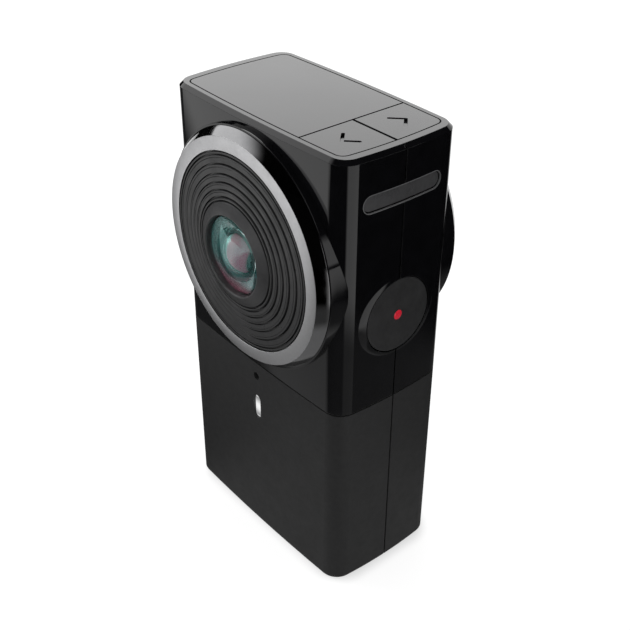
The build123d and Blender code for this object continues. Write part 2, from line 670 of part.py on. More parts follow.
def lower_casing():
    """The matt lower half of the casing, before it is split."""
    shell = CASING & crowned_prism(-OVERRUN, -OVERRUN, SEAM_HEIGHT)
    shell -= crowned_prism(WALL, FLOOR, SEAM_HEIGHT + OVERRUN)
    outer = crowned_prism(WALL + SEAT_GAP, SEAM_HEIGHT - LIP_ROOT, SEAM_HEIGHT + LIP_RISE)
    root = crowned_prism(WALL / 2, SEAM_HEIGHT - LIP_ROOT, SEAM_HEIGHT)
    inner = WALL + SEAT_GAP + LIP_THICKNESS
    lip = outer + root
    lip -= crowned_prism(inner, SEAM_HEIGHT - LIP_ROOT - OVERRUN, SEAM_HEIGHT + LIP_RISE + OVERRUN)
    shell += lip
    shell += rod_z(0, 0, BUSH_RADIUS + BUSH_BOSS_WALL, FLOOR / 2, BUSH_HEIGHT)
    shell -= rod_z(0, 0, BUSH_RADIUS + PRESS_GAP, -OVERRUN, BUSH_HEIGHT + OVERRUN)
    for groove in seam_grooves():
        shell -= groove
    return shell


def main_boss_places():
    """Where the main board is screwed down."""
    right = MAIN_BOARD_LEFT + MAIN_BOSS_X_SHARE * MAIN_BOARD_LENGTH
    shares = [(-MAIN_BOSS_OFFSET, MAIN_BOSS_FOOT_SHARE), (-MAIN_BOSS_OFFSET, MAIN_BOSS_MIDDLE_SHARE)]
    shares += [(right, MAIN_BOSS_FOOT_SHARE), (right, MAIN_BOSS_HEAD_SHARE)]
    return [(x, MAIN_BOARD_BOTTOM + share * MAIN_BOARD_HEIGHT) for x, share in shares]


def lower_front_shell(casing):
    """The lower front shell with the holes for the microphone and the status light."""
    shell = casing & half(True)
    inside = crowned_prism(WALL / 2, FLOOR, SEAM_HEIGHT)
    bite = BODY_SCREW_LENGTH - BOARD_THICKNESS
    for x, z in main_boss_places():
        shell += rod_y(x, z, BOSS_RADIUS, -HALF_DEPTH, MAIN_BOARD_FRONT) & inside
        shell -= rod_y(x, z, SCREW_RADIUS + PRESS_GAP, MAIN_BOARD_FRONT - bite, MAIN_BOARD_FRONT)
    shell -= MIC_SEAT * Cylinder(MIC_HOLE_RADIUS, 2 * (WALL + OVERRUN))
    shell -= status_pill(0, -WALL - OVERRUN, OVERRUN)
    return shell - door_opening()


def lower_rear_shell(casing):
    """The lower rear shell with the hinge lugs and the ribs under the battery tray."""
    shell = casing & half(False)
    inside = crowned_prism(WALL / 2, FLOOR / 2, SEAM_HEIGHT)
    for lug in hinge_lugs():
        shell += lug & inside
    for rib in tray_ribs():
        shell += rib
    shell -= door_opening()
    x, y = hinge_place()
    pin_span = (DOOR_BOTTOM - HINGE_PIN_REACH, DOOR_TOP + HINGE_PIN_REACH)
    return shell - rod_z(x, y, HINGE_PIN_RADIUS + PRESS_GAP, *pin_span)


# Top plate, display and top buttons


def top_window():
    """The clear plate over the display."""
    plate = Pos(0, 0, DECK_TOP) * extrude(plate_outline(0), amount=PLATE_THICKNESS)
    return plate & box_between((-WIDTH, WINDOW_END), (-DEPTH, DEPTH), (0, HEIGHT + OVERRUN))


def display_module():
    """The small display under the window, on its carrier."""
    return display_opening(0, DISPLAY_BOTTOM, DECK_TOP)


def chevron(side):
    """The engraved arrow mark on a button, its point away from the middle of the top."""
    middle = BUTTON_Y + ICON_SHIFT
    low = side * (middle - ICON_RISE / 2)
    tip = side * (middle + ICON_RISE / 2)
    ends = [(BUTTON_X - ICON_HALF_SPAN, low), (BUTTON_X + ICON_HALF_SPAN, low)]
    mark = None
    for end in ends:
        line = Line(end, (BUTTON_X, tip))
        arm = SlotCenterToCenter(line.length, ICON_WIDTH)
        arm = Pos(*line.center()) * Rot(0, 0, line.tangent_angle_at(0)) * arm
        stroke = Pos(0, 0, HEIGHT - ICON_DEPTH) * extrude(arm, amount=ICON_DEPTH + OVERRUN)
        mark = stroke if mark is None else mark + stroke
    return mark


def top_button(side):
    """A button cap with its stem and the hook that holds it under the deck."""
    cap = Pos(0, 0, BUTTON_BOTTOM) * extrude(plate_outline(0), amount=BUTTON_THICKNESS)
    y_span = sorted((side * BUTTON_SPLIT / 2, side * DEPTH))
    cap = cap & box_between((BUTTON_START, WIDTH), y_span, (0, HEIGHT + OVERRUN))
    y = side * BUTTON_Y
    cap += rod_z(BUTTON_X, y, BUTTON_STEM_RADIUS, STEM_BOTTOM, BUTTON_BOTTOM + ICON_DEPTH)
    hook_top = STEM_BOTTOM + BUTTON_HOOK_THICKNESS
    cap += rod_z(BUTTON_X, y, BUTTON_STEM_RADIUS + BUTTON_HOOK, STEM_BOTTOM, hook_top)
    return cap - chevron(side)


def top_switch_board():
    """The small board under the two top buttons, on the chassis plate's upper edge."""
    x_span = span(BUTTON_X, TOP_BOARD_LENGTH)
    return box_between(x_span, span(0, TOP_BOARD_WIDTH), (CHASSIS_TOP, TOP_SWITCH_FOOT))


def button_switches():
    """The three equal switches: one under each top button and one behind the shutter."""
    seats = [Plane(origin=(BUTTON_X, side * BUTTON_Y, TOP_SWITCH_FOOT)) for side in (-1, 1)]
    seats.append(Plane(origin=(SHUTTER_SWITCH_FOOT, 0, SHUTTER_HEIGHT), x_dir=(0, 1, 0), z_dir=(1, 0, 0)))
    upwards = (Align.CENTER, Align.CENTER, Align.MIN)
    body = Box(SWITCH_SIZE, SWITCH_SIZE, SWITCH_HEIGHT - SWITCH_KNOB, align=upwards)
    body += Cylinder(SWITCH_KNOB_RADIUS, SWITCH_HEIGHT, align=upwards)
    return Compound([seat * body for seat in seats])


# Lens modules


def lens_flange(front):
    """The glossy ring that a lens stands in, fitted over the face and its rounded corners."""
    inner = RING_RADIUS - SPIGOT_WALL
    points = [
        (BARREL_HOLE, FLANGE_PLATE_BACK),
        (BARREL_HOLE, FLANGE_PLATE_FRONT),
        (TRIM_SEAT, FLANGE_PLATE_FRONT),
        (TRIM_SEAT, FLANGE_EDGE),
        (FLANGE_EDGE_RADIUS, FLANGE_EDGE),
        (FLANGE_FOOT_RADIUS, -SPIGOT_DEPTH),
        (inner, -SPIGOT_DEPTH),
        (inner, FLANGE_PLATE_BACK),
    ]
    seat = lens_seat(front)
    ring = turned(points, seat)
    bore = Cylinder(LENS_BORE, HALF_DEPTH, align=(Align.CENTER, Align.CENTER, Align.MAX))
    bore = seat * Pos(0, 0, OVERRUN) * bore
    spigot = Cylinder(RING_RADIUS, WIDTH)
    behind = ring & (CASING & bore) & (seat * spigot)
    return (ring - CASING) + behind


def trim_ring(front):
    """The metal ring around the ribbed shroud: a flat face and a wide bevel down to the flange."""
    inner_top = TRIM_TOP + TRIM_RISE
    points = [
        (TRIM_INNER, FLANGE_PLATE_FRONT),
        (TRIM_SEAT, FLANGE_PLATE_FRONT),
        (TRIM_SEAT, FLANGE_EDGE),
        (TRIM_EDGE, FLANGE_EDGE),
        (TRIM_EDGE, FLANGE_EDGE + TRIM_LAND),
        (RING_RADIUS, TRIM_TOP),
        (TRIM_INNER + TRIM_CHAMFER, inner_top),
        (TRIM_INNER, inner_top - TRIM_CHAMFER),
    ]
    return turned(points, lens_seat(front))


def ribbed_shroud(front):
    """The shallow cone around the lens: treads that step up inwards, with a groove at each."""
    slope = (SHROUD_CONE - SHROUD_EDGE) / (SHROUD_RADIUS - SHROUD_CONE_RADIUS)
    hole = SHROUD_MOUTH_RADIUS
    points = [(BARREL_HOLE, FLANGE_PLATE_FRONT), (SHROUD_RADIUS, FLANGE_PLATE_FRONT)]
    tread = SHROUD_EDGE
    points.append((SHROUD_RADIUS, tread))
    for share in RIB_RADIUS_SHARES:
        radius = SHROUD_RADIUS * share
        inner = radius - RIB_GROOVE_WIDTH
        points.append((radius, tread))
        points.append((radius, tread - RIB_GROOVE_DEPTH))
        points.append((inner, tread - RIB_GROOVE_DEPTH))
        tread = SHROUD_EDGE + slope * (SHROUD_RADIUS - radius)
        points.append((inner, tread - RIB_CHAMFER))
        points.append((inner - RIB_CHAMFER, tread))
    points.append((hole + RIB_CHAMFER, SHROUD_MOUTH))
    points.append((hole, SHROUD_MOUTH - RIB_CHAMFER))
    points.append((hole, SHROUD_UNDERCUT))
    points.append((BARREL_HOLE, SHROUD_UNDERCUT))
    return turned(points, lens_seat(front))


def lens_barrel(front):
    """The stepped tube that holds the glass, with its base on the sensor board."""
    dome_bore = DOME_RADIUS + SEAT_GAP
    second_bore = SECOND_RADIUS + SEAT_GAP
    group_bore = GROUP_RADIUS + SEAT_GAP
    shoulder = BARREL_RADIUS + BARREL_SHOULDER_WIDTH
    points = [
        (dome_bore, BARREL_NOSE),
        (dome_bore, DOME_SEAT),
        (second_bore, DOME_SEAT),
        (second_bore, SECOND_BACK),
        (group_bore, SECOND_BACK),
        (group_bore, CHAMBER_TOP),
        (CHAMBER_RADIUS, CHAMBER_TOP),
        (CHAMBER_RADIUS, BARREL_BACK),
        (BARREL_BASE_RADIUS, BARREL_BACK),
        (BARREL_BASE_RADIUS, BARREL_BACK + BARREL_BASE),
        (BARREL_RADIUS, BARREL_BACK + BARREL_BASE),
        (BARREL_RADIUS, FLANGE_PLATE_BACK - BARREL_SHOULDER),
        (shoulder, FLANGE_PLATE_BACK - BARREL_SHOULDER),
        (shoulder, FLANGE_PLATE_BACK),
        (BARREL_RADIUS, FLANGE_PLATE_BACK),
        (BARREL_RADIUS, BARREL_NOSE),
    ]
    seat = lens_seat(front)
    barrel = turned(points, seat)
    for x, y in lens_screw_places():
        hole = Cylinder(SCREW_RADIUS + PRESS_GAP, 2 * SCREW_BITE)
        barrel -= seat * Pos(x, y, BARREL_BACK) * hole
    return barrel


def lens_screw_places():
    """The four corners of the sensor board that are screwed to the barrel."""
    offsets = (-LENS_SCREW_OFFSET, LENS_SCREW_OFFSET)
    return [(x, y) for x in offsets for y in offsets]


def dome_glass(front):
    """The strongly curved front glass."""
    seat = lens_seat(front)
    return lens_element(DOME_RADIUS, DOME_SEAT, DOME_RIM, DOME_SAG, DOME_HOLLOW_RADIUS, DOME_HOLLOW, seat)


def inner_glasses(front):
    """The curved glass seen through the front one, and the two small ones behind it."""
    seat = lens_seat(front)
    sizes = (SECOND_RADIUS, SECOND_BACK, SECOND_RIM, SECOND_SAG, GROUP_RADIUS, GROUP_SAG)
    lenses = [lens_element(*sizes, seat)]
    for step in range(2):
        back = GROUP_BACK + step * GROUP_PITCH
        rim = back + GROUP_RIM
        lenses.append(lens_element(GROUP_RADIUS, back, rim, GROUP_SAG, GROUP_RADIUS, -GROUP_SAG, seat))
    return Compound(lenses)


def glass_spacer(front):
    """The ring that keeps the second glass against its step."""
    inner = SECOND_RADIUS - SPACER_WALL
    points = [(inner, DOME_SEAT), (SECOND_RADIUS, DOME_SEAT), (SECOND_RADIUS, SECOND_RIM)]
    foot = SECOND_RIM + SPACER_WALL
    points.append((inner, foot))
    return turned(points, lens_seat(front))


def sensor_board(front):
    """The square board behind a lens."""
    seat = lens_seat(front)
    size = SENSOR_BOARD_SIZE
    board = Box(size, size, BOARD_THICKNESS, align=(Align.CENTER, Align.CENTER, Align.MAX))
    board = seat * Pos(0, 0, BARREL_BACK) * board
    for x, y in lens_screw_places():
        hole = Cylinder(SCREW_RADIUS + SEAT_GAP, 2 * (BOARD_THICKNESS + OVERRUN))
        board -= seat * Pos(x, y, BARREL_BACK) * hole
    return board


def image_sensor(front):
    """The image sensor in the chamber at the barrel's base."""
    chip = Box(SENSOR_WIDTH, SENSOR_HEIGHT, SENSOR_THICKNESS, align=(Align.CENTER, Align.CENTER, Align.MIN))
    return lens_seat(front) * Pos(0, 0, BARREL_BACK) * chip


def lens_screws():
    """The eight screws through the sensor boards into the barrels."""
    head_seat = BARREL_BACK - BOARD_THICKNESS
    upwards = (Align.CENTER, Align.CENTER, Align.MIN)
    downwards = (Align.CENTER, Align.CENTER, Align.MAX)
    shank = Cylinder(SCREW_RADIUS, SCREW_BITE + BOARD_THICKNESS, align=upwards)
    screw = shank + Cylinder(SCREW_HEAD_RADIUS, SCREW_HEAD_HEIGHT, align=downwards)
    places = [(front, x, y) for front in (True, False) for x, y in lens_screw_places()]
    return Compound([lens_seat(front) * Pos(x, y, head_seat) * screw for front, x, y in places])


def thermal_pads():
    """The two soft pads that carry the sensors' heat to the chassis."""
    x_span = span(0, PAD_SIZE)
    z_span = span(LENS_HEIGHT, PAD_SIZE)
    front = box_between(x_span, (-SENSOR_BOARD_BACK, -HALF_CHASSIS), z_span)
    rear = box_between(x_span, (HALF_CHASSIS, SENSOR_BOARD_BACK), z_span)
    return Compound([front, rear])


# Chassis and flexes


def chassis_plate():
    """The metal plate in the middle plane that everything in the upper half is fixed to."""
    y_span = (-HALF_CHASSIS, HALF_CHASSIS)
    plate = box_between((-CHASSIS_END, CHASSIS_END), y_span, (CHASSIS_BOTTOM, CHASSIS_TOP))
    shutter_z = span(SHUTTER_HEIGHT, SHUTTER_BOARD_HEIGHT + 2 * SHUTTER_NOTCH_MARGIN)
    cut_y = (-HALF_CHASSIS - OVERRUN, HALF_CHASSIS + OVERRUN)
    plate -= box_between((SHUTTER_NOTCH_X, WIDTH), cut_y, shutter_z)
    light_x = LIGHT_BOARD_X - LIGHT_NOTCH_MARGIN
    plate -= box_between((light_x, WIDTH), cut_y, (LIGHT_NOTCH_BOTTOM, HEIGHT))
    for x, z in chassis_boss_places():
        plate -= rod_y(x, z, SCREW_RADIUS + SEAT_GAP, -OVERRUN, OVERRUN)
    return plate


def body_screws():
    """The equal screws that hold the chassis plate and the main board to the front shells."""
    screws = []
    for x, z in chassis_boss_places():
        screws.append(body_screw(x, z, HALF_CHASSIS))
    for x, z in main_boss_places():
        screws.append(body_screw(x, z, MAIN_BOARD_BACK))
    return Compound(screws)


def body_screw(x, z, seat):
    """One screw along Y, its head on the rear of what it holds."""
    shank = rod_y(x, z, SCREW_RADIUS, seat - BODY_SCREW_LENGTH, seat)
    return shank + rod_y(x, z, SCREW_HEAD_RADIUS, seat, seat + SCREW_HEAD_HEIGHT)


def sensor_flexes():
    """The two flat flexes from the sensor boards down to the top of the main board."""
    start = LENS_HEIGHT - SENSOR_BOARD_SIZE / 2 + FLEX_LAP
    low = MAIN_BOARD_TOP - FLEX_LAP
    turn = (CHASSIS_BOTTOM + MAIN_BOARD_TOP - FLEX_THICKNESS) / 2
    z_bridge = (turn, turn + FLEX_THICKNESS)
    front_x = span(FLEX_FRONT_INSET - SENSOR_BOARD_SIZE / 2, FLEX_WIDTH)
    front_y = (-SENSOR_BOARD_BACK, FLEX_THICKNESS - SENSOR_BOARD_BACK)
    board_y = (MAIN_BOARD_FRONT - FLEX_THICKNESS, MAIN_BOARD_FRONT)
    front = box_between(front_x, front_y, (turn, start))
    front += box_between(front_x, (board_y[0], front_y[1]), z_bridge)
    front += box_between(front_x, board_y, (low, turn + FLEX_THICKNESS))
    rear_x = span(SENSOR_BOARD_SIZE / 2 - FLEX_REAR_INSET, FLEX_WIDTH)
    rear_y = (SENSOR_BOARD_BACK - FLEX_THICKNESS, SENSOR_BOARD_BACK)
    board_y = (MAIN_BOARD_BACK, MAIN_BOARD_BACK + FLEX_THICKNESS)
    rear = box_between(rear_x, rear_y, (turn, start))
    rear += box_between(rear_x, (board_y[0], rear_y[1]), z_bridge)
    rear += box_between(rear_x, board_y, (low, turn + FLEX_THICKNESS))
    return Compound([front, rear])


def display_flex():
    """The flat flex from the display, down the front of the chassis, to the main board."""
    start = BOSS_CUP_RADIUS + DISPLAY_FLEX_GAP - BOSS_X
    x_span = (start, start + DISPLAY_FLEX_WIDTH)
    front = -HALF_CHASSIS - FLEX_THICKNESS
    foot_z = (MAIN_BOARD_TOP - FLEX_THICKNESS, MAIN_BOARD_TOP)
    down = box_between(x_span, (front, -HALF_CHASSIS), (foot_z[0], DISPLAY_BOTTOM))
    top = box_between(x_span, (front, FLEX_LAP), (DISPLAY_BOTTOM - FLEX_THICKNESS, DISPLAY_BOTTOM))
    return down + top + box_between(x_span, (MAIN_BOARD_BACK, front), foot_z)


# Shutter button


def shutter_cap():
    """The shutter button: a disc with a skirt behind the casing's ledge and a stem."""
    skirt_front = -COLLAR_LEDGE - SLIDE_GAP
    skirt_back = skirt_front - SHUTTER_SKIRT
    points = [
        (0, SHUTTER_TOP),
        (SHUTTER_RADIUS - SHUTTER_EDGE, SHUTTER_TOP),
        (SHUTTER_RADIUS, SHUTTER_TOP - SHUTTER_EDGE),
        (SHUTTER_RADIUS, skirt_front),
        (SHUTTER_SKIRT_RADIUS, skirt_front),
        (SHUTTER_SKIRT_RADIUS, skirt_back),
        (SHUTTER_STEM_RADIUS, skirt_back),
        (SHUTTER_STEM_RADIUS, SHUTTER_STEM_END),
        (0, SHUTTER_STEM_END),
    ]
    cap = turned(points, SHUTTER_SEAT)
    pocket = Cylinder(RED_RADIUS + PRESS_GAP, RED_DEPTH, align=(Align.CENTER, Align.CENTER, Align.MAX))
    return cap - SHUTTER_SEAT * Pos(0, 0, SHUTTER_TOP) * pocket


def red_insert():
    """The red mark in the middle of the shutter button."""
    front = dome_arc(RED_RADIUS, SHUTTER_TOP, RED_DOME)
    back = SHUTTER_TOP - RED_DEPTH
    rim = Polyline((RED_RADIUS, SHUTTER_TOP), (RED_RADIUS, back), (0, back), (0, SHUTTER_TOP + RED_DOME))
    profile = Plane.XZ * make_face([front, *rim.edges()])
    return SHUTTER_SEAT * revolve(profile, axis=Axis.Z)


def shutter_board():
    """The small upright board behind the shutter button, in the chassis plate's notch."""
    x_span = (SHUTTER_NOTCH_X, SHUTTER_NOTCH_X + SHUTTER_BOARD_THICKNESS)
    return box_between(x_span, span(0, SHUTTER_BOARD_WIDTH), span(SHUTTER_HEIGHT, SHUTTER_BOARD_HEIGHT))


# Light bar


def side_light_bar():
    """The smoked light guide in the side, a little below the surface."""
    bar = light_pill(0, -LIGHT_BAR_BACK, OVERRUN) & crowned_prism(LIGHT_BAR_RECESS, 0, HEIGHT)
    inside = -WALL
    spare = LIGHT_BAR_GAP + LIGHT_BAR_FLANGE
    flange = light_pill(spare, -LIGHT_BAR_BACK, inside) & crowned_prism(WALL + SEAT_GAP, 0, HEIGHT)
    return bar + flange


def side_light_board():
    """The strip of lamps behind the light bar."""
    x_span = (LIGHT_BOARD_X, LIGHT_BOARD_X + LIGHT_BOARD_THICKNESS)
    return box_between(x_span, span(0, LIGHT_BOARD_LENGTH), span(LIGHT_BAR_HEIGHT, LIGHT_BOARD_HEIGHT))


# Microphone, status light and main board


def status_light():
    """The status light's guide, from the front wall to the main board."""
    depth = HALF_DEPTH + MAIN_BOARD_FRONT
    guide = status_pill(-PRESS_GAP, -depth, -STATUS_RECESS)
    back = WALL + SEAT_GAP
    return guide + status_pill(STATUS_FLANGE, -back - STATUS_FLANGE, -back)


def microphone_boot():
    """The rubber boot that seals the microphone to its hole."""
    start = WALL + SEAT_GAP
    length = HALF_DEPTH - start + MAIN_BOARD_FRONT - MIC_CAN_THICKNESS
    boot = Cylinder(MIC_BOOT_RADIUS, length, align=(Align.CENTER, Align.CENTER, Align.MAX))
    boot -= Cylinder(MIC_BORE_RADIUS, 2 * length + OVERRUN)
    return MIC_SEAT * Pos(0, 0, -start) * boot


def microphone():
    """The microphone can on the main board."""
    y_span = (MAIN_BOARD_FRONT - MIC_CAN_THICKNESS, MAIN_BOARD_FRONT)
    can = box_between(span(0, MIC_CAN_SIZE), y_span, span(MIC_HEIGHT, MIC_CAN_SIZE))
    port = rod_y(0, MIC_HEIGHT, MIC_BORE_RADIUS, y_span[0] - OVERRUN, y_span[0] + MIC_CAN_THICKNESS / 2)
    return can - port


def main_board():
    """The main board, upright in the lower half."""
    x_span = (MAIN_BOARD_LEFT, MAIN_BOARD_LEFT + MAIN_BOARD_LENGTH)
    board = box_between(x_span, (MAIN_BOARD_FRONT, MAIN_BOARD_BACK), (MAIN_BOARD_BOTTOM, MAIN_BOARD_TOP))
    ends = (MAIN_BOARD_FRONT - OVERRUN, MAIN_BOARD_BACK + OVERRUN)
    for x, z in main_boss_places():
        board -= rod_y(x, z, SCREW_RADIUS + SEAT_GAP, *ends)
    return board


def on_board_front(x_shares, z_shares, thickness):
    """A block on the main board's front side, placed by shares of the board."""
    x_span = [MAIN_BOARD_LEFT + share * MAIN_BOARD_LENGTH for share in x_shares]
    z_span = [MAIN_BOARD_BOTTOM + share * MAIN_BOARD_HEIGHT for share in z_shares]
    return box_between(x_span, (MAIN_BOARD_FRONT - thickness, MAIN_BOARD_FRONT), z_span)


# Sockets and card


def socket_slot(z, width, thickness, start, end):
    """A round-ended block that lies on the main board's back, facing -X."""
    y = MAIN_BOARD_BACK + USB_THICKNESS / 2
    slot = SlotOverall(width, thickness)
    seat = Plane(origin=(start, y, z), x_dir=(0, 0, 1), z_dir=(1, 0, 0))
    return seat * extrude(slot, amount=end - start)


def usb_socket():
    """The charging and data socket: a round-ended shell with a tongue inside."""
    end = SOCKET_FACE + USB_LENGTH
    shell = socket_slot(USB_Z, USB_WIDTH, USB_THICKNESS, SOCKET_FACE, end)
    inner_width = USB_WIDTH - 2 * USB_SHELL
    inner_thickness = USB_THICKNESS - 2 * USB_SHELL
    shell -= socket_slot(USB_Z, inner_width, inner_thickness, SOCKET_FACE - OVERRUN, end - USB_SHELL)
    y = MAIN_BOARD_BACK + USB_THICKNESS / 2
    tongue_x = (end - USB_SHELL - USB_TONGUE_LENGTH, end)
    tongue = box_between(tongue_x, span(y, USB_TONGUE_THICKNESS), span(USB_Z, USB_TONGUE_WIDTH))
    return shell + tongue


def video_socket():
    """The small video socket: a shell with cut-off corners and a tongue inside."""
    end = SOCKET_FACE + VIDEO_LENGTH
    y_span = (MAIN_BOARD_BACK, MAIN_BOARD_BACK + VIDEO_THICKNESS)
    z_span = span(VIDEO_Z, VIDEO_WIDTH)
    shell = box_between((SOCKET_FACE, end), y_span, z_span)
    corners = shell.edges().filter_by(Axis.X).sort_by(Axis.Y)[-2:]
    shell = chamfer(corners, length=VIDEO_THICKNESS * VIDEO_CORNER_SHARE)
    y_inner = (y_span[0] + VIDEO_SHELL, y_span[1] - VIDEO_SHELL)
    z_inner = span(VIDEO_Z, VIDEO_WIDTH - 2 * VIDEO_SHELL)
    mouth = box_between((SOCKET_FACE - OVERRUN, end - VIDEO_SHELL), y_inner, z_inner)
    inner_corners = mouth.edges().filter_by(Axis.X).sort_by(Axis.Y)[-2:]
    shell -= chamfer(inner_corners, length=VIDEO_THICKNESS * VIDEO_CORNER_SHARE)
    middle = MAIN_BOARD_BACK + VIDEO_THICKNESS / 2
    tongue_x = (SOCKET_FACE + VIDEO_TONGUE_RECESS, end)
    tongue = box_between(tongue_x, span(middle, VIDEO_TONGUE_THICKNESS), span(VIDEO_Z, VIDEO_TONGUE_WIDTH))
    return shell + tongue


def card_place(spare, proud):
    """The memory card's space in its slot, grown by a spare gap."""
    x_span = (SOCKET_FACE - proud, SOCKET_FACE - CARD_PROUD + CARD_LENGTH + spare)
    y_span = span(MAIN_BOARD_BACK + CARD_SLOT_THICKNESS / 2, CARD_THICKNESS + 2 * spare)
    return box_between(x_span, y_span, span(CARD_Z, CARD_WIDTH + 2 * spare))


def card_slot():
    """The metal card slot on the main board's back."""
    x_span = (SOCKET_FACE, SOCKET_FACE - CARD_PROUD + CARD_LENGTH + CARD_SLOT_WALL)
    y_span = (MAIN_BOARD_BACK, MAIN_BOARD_BACK + CARD_SLOT_THICKNESS)
    shell = box_between(x_span, y_span, span(CARD_Z, CARD_SLOT_WIDTH))
    return shell - card_place(SEAT_GAP, CARD_PROUD + OVERRUN)


def memory_card():
    """The memory card in its slot, its end proud for a fingertip."""
    return card_place(0, CARD_PROUD)


# Battery, tray and contacts


def battery():
    """The removable battery."""
    pack = box_between(BATTERY_X, BATTERY_Y, BATTERY_Z)
    return fillet(pack.edges().filter_by(Axis.X), radius=BATTERY_ROUND)


def contact_places():
    """The middles of the contact blades across the battery's end."""
    middle = sum(BATTERY_Y) / 2
    first = middle - CONTACT_PITCH * (CONTACT_COUNT - 1) / 2
    return [first + index * CONTACT_PITCH for index in range(CONTACT_COUNT)]


def contact_blade(y, spare):
    """One blade's space through the tray's end wall, grown by a spare gap."""
    end = BATTERY_X[1] + FITTING_GAP + TRAY_WALL + CONTACT_TAIL
    x_span = (BATTERY_X[1], end)
    y_span = span(y, CONTACT_WIDTH + 2 * spare)
    z = BATTERY_BOTTOM + CONTACT_Z_SHARE * BATTERY_HEIGHT
    return box_between(x_span, y_span, span(z, CONTACT_HEIGHT + 2 * spare))


def battery_contacts():
    """The sprung blades that meet the battery's end."""
    return Compound([contact_blade(y, 0) for y in contact_places()])


def battery_tray():
    """The tray around the battery and its face plate, with mouths for the sockets and card."""
    grow = FITTING_GAP + TRAY_WALL
    y_span = (BATTERY_Y[0] - grow, BATTERY_Y[1] + grow)
    z_span = (BATTERY_Z[0] - grow, BATTERY_Z[1] + grow)
    tray = box_between((TRAY_FACE, BATTERY_X[1] + grow), y_span, z_span)
    face_y = (MAIN_BOARD_FRONT - TRAY_FACE_REACH, BATTERY_REAR + TRAY_FACE_REACH)
    face_z = (z_span[0] - TRAY_FACE_EDGE, z_span[1] + TRAY_FACE_EDGE)
    tray += box_between((TRAY_FACE, TRAY_FACE + TRAY_WALL), face_y, face_z)
    inner_y = (BATTERY_Y[0] - FITTING_GAP, BATTERY_Y[1] + FITTING_GAP)
    inner_z = (BATTERY_Z[0] - FITTING_GAP, BATTERY_Z[1] + FITTING_GAP)
    tray -= box_between((TRAY_FACE - OVERRUN, BATTERY_X[1] + FITTING_GAP), inner_y, inner_z)
    for y in contact_places():
        tray -= contact_blade(y, SEAT_GAP)
    start = TRAY_FACE - OVERRUN
    end = TRAY_FACE + TRAY_WALL + OVERRUN
    usb_width = USB_WIDTH + 2 * FITTING_GAP
    tray -= socket_slot(USB_Z, usb_width, USB_THICKNESS + 2 * FITTING_GAP, start, end)
    video_y = (MAIN_BOARD_BACK - FITTING_GAP, MAIN_BOARD_BACK + VIDEO_THICKNESS + FITTING_GAP)
    tray -= box_between((start, end), video_y, span(VIDEO_Z, VIDEO_WIDTH + 2 * FITTING_GAP))
    card_y = (MAIN_BOARD_BACK - FITTING_GAP, MAIN_BOARD_BACK + CARD_SLOT_THICKNESS + FITTING_GAP)
    return tray - box_between((start, end), card_y, span(CARD_Z, CARD_SLOT_WIDTH + 2 * FITTING_GAP))


# Door, its hinge and its lock


def door_panel():
    """The door over the battery bay: a skin of the side with a hinge barrel on one edge."""
    x, y = hinge_place()
    z_span = (DOOR_BOTTOM, DOOR_TOP)
    skin = crowned_prism(0, *z_span) - crowned_prism(DOOR_THICKNESS, *z_span)
    panel = skin & box_between((-WIDTH, 0), (DOOR_FREE_EDGE, y), z_span)
    panel += rod_z(x, y, HINGE_BARREL_RADIUS, *z_span)
    panel -= rod_z(x, y, HINGE_PIN_RADIUS + RUNNING_GAP, DOOR_BOTTOM - OVERRUN, DOOR_TOP + OVERRUN)
    panel -= lock_recess()
    return panel - lock_slot()


def lock_recess():
    """The shallow recess that the lock's thumb piece slides in."""
    low, high = LOCK_THUMB_Y
    y_span = (low - LOCK_TRAVEL - MOVING_GAP, high + MOVING_GAP)
    z_span = span(DOOR_MIDDLE, LOCK_THUMB_HEIGHT + 2 * MOVING_GAP)
    floor = LOCK_RECESS - HALF_WIDTH
    return box_between((-WIDTH, floor), y_span, z_span)


def stem_span():
    """The lock stem's two sides along its travel, at rest."""
    return span(sum(LOCK_THUMB_Y) / 2, LOCK_STEM_WIDTH)


def lock_slot():
    """The slot through the door for the lock's stem."""
    low, high = stem_span()
    y_span = (low - LOCK_TRAVEL - MOVING_GAP, high + MOVING_GAP)
    return box_between((-WIDTH, 0), y_span, span(DOOR_MIDDLE, LOCK_STEM_HEIGHT + 2 * MOVING_GAP))


def lock_thumb():
    """The lock's thumb piece with its grip ribs and the stem behind it."""
    back = LOCK_RECESS - HALF_WIDTH - SLIDE_GAP
    front = back - LOCK_THUMB_THICKNESS
    thumb = box_between((front, back), LOCK_THUMB_Y, span(DOOR_MIDDLE, LOCK_THUMB_HEIGHT))
    pitch = LOCK_THUMB_HEIGHT / (LOCK_THUMB_RIBS + 1)
    first = DOOR_MIDDLE - LOCK_THUMB_HEIGHT / 2
    for index in range(LOCK_THUMB_RIBS):
        z_span = span(first + (index + 1) * pitch, LOCK_RIB_WIDTH)
        thumb -= box_between((-WIDTH, front + LOCK_RIB_DEPTH), (-DEPTH, DEPTH), z_span)
    return thumb + box_between((back, LOCK_BOLT_FACE), stem_span(), span(DOOR_MIDDLE, LOCK_STEM_HEIGHT))


def lock_bolt():
    """The bolt behind the door, which slides under the front shell's edge to lock it."""
    y_span = (LOCK_BOLT_TIP, LOCK_BOLT_TIP + LOCK_BOLT_LENGTH)
    return box_between(LOCK_BOLT_X, y_span, span(DOOR_MIDDLE, LOCK_BOLT_HEIGHT))


def door_pad():
    """The soft pad on the door that keeps the battery against its contacts."""
    z_span = span(DOOR_MIDDLE, DOOR_PAD_HEIGHT)
    y_span = (DOOR_PAD_END - DOOR_PAD_WIDTH, DOOR_PAD_END)
    end = BATTERY_LEFT - MOVING_GAP
    return crowned_prism(DOOR_THICKNESS, *z_span) & box_between((-WIDTH, end), y_span, z_span)


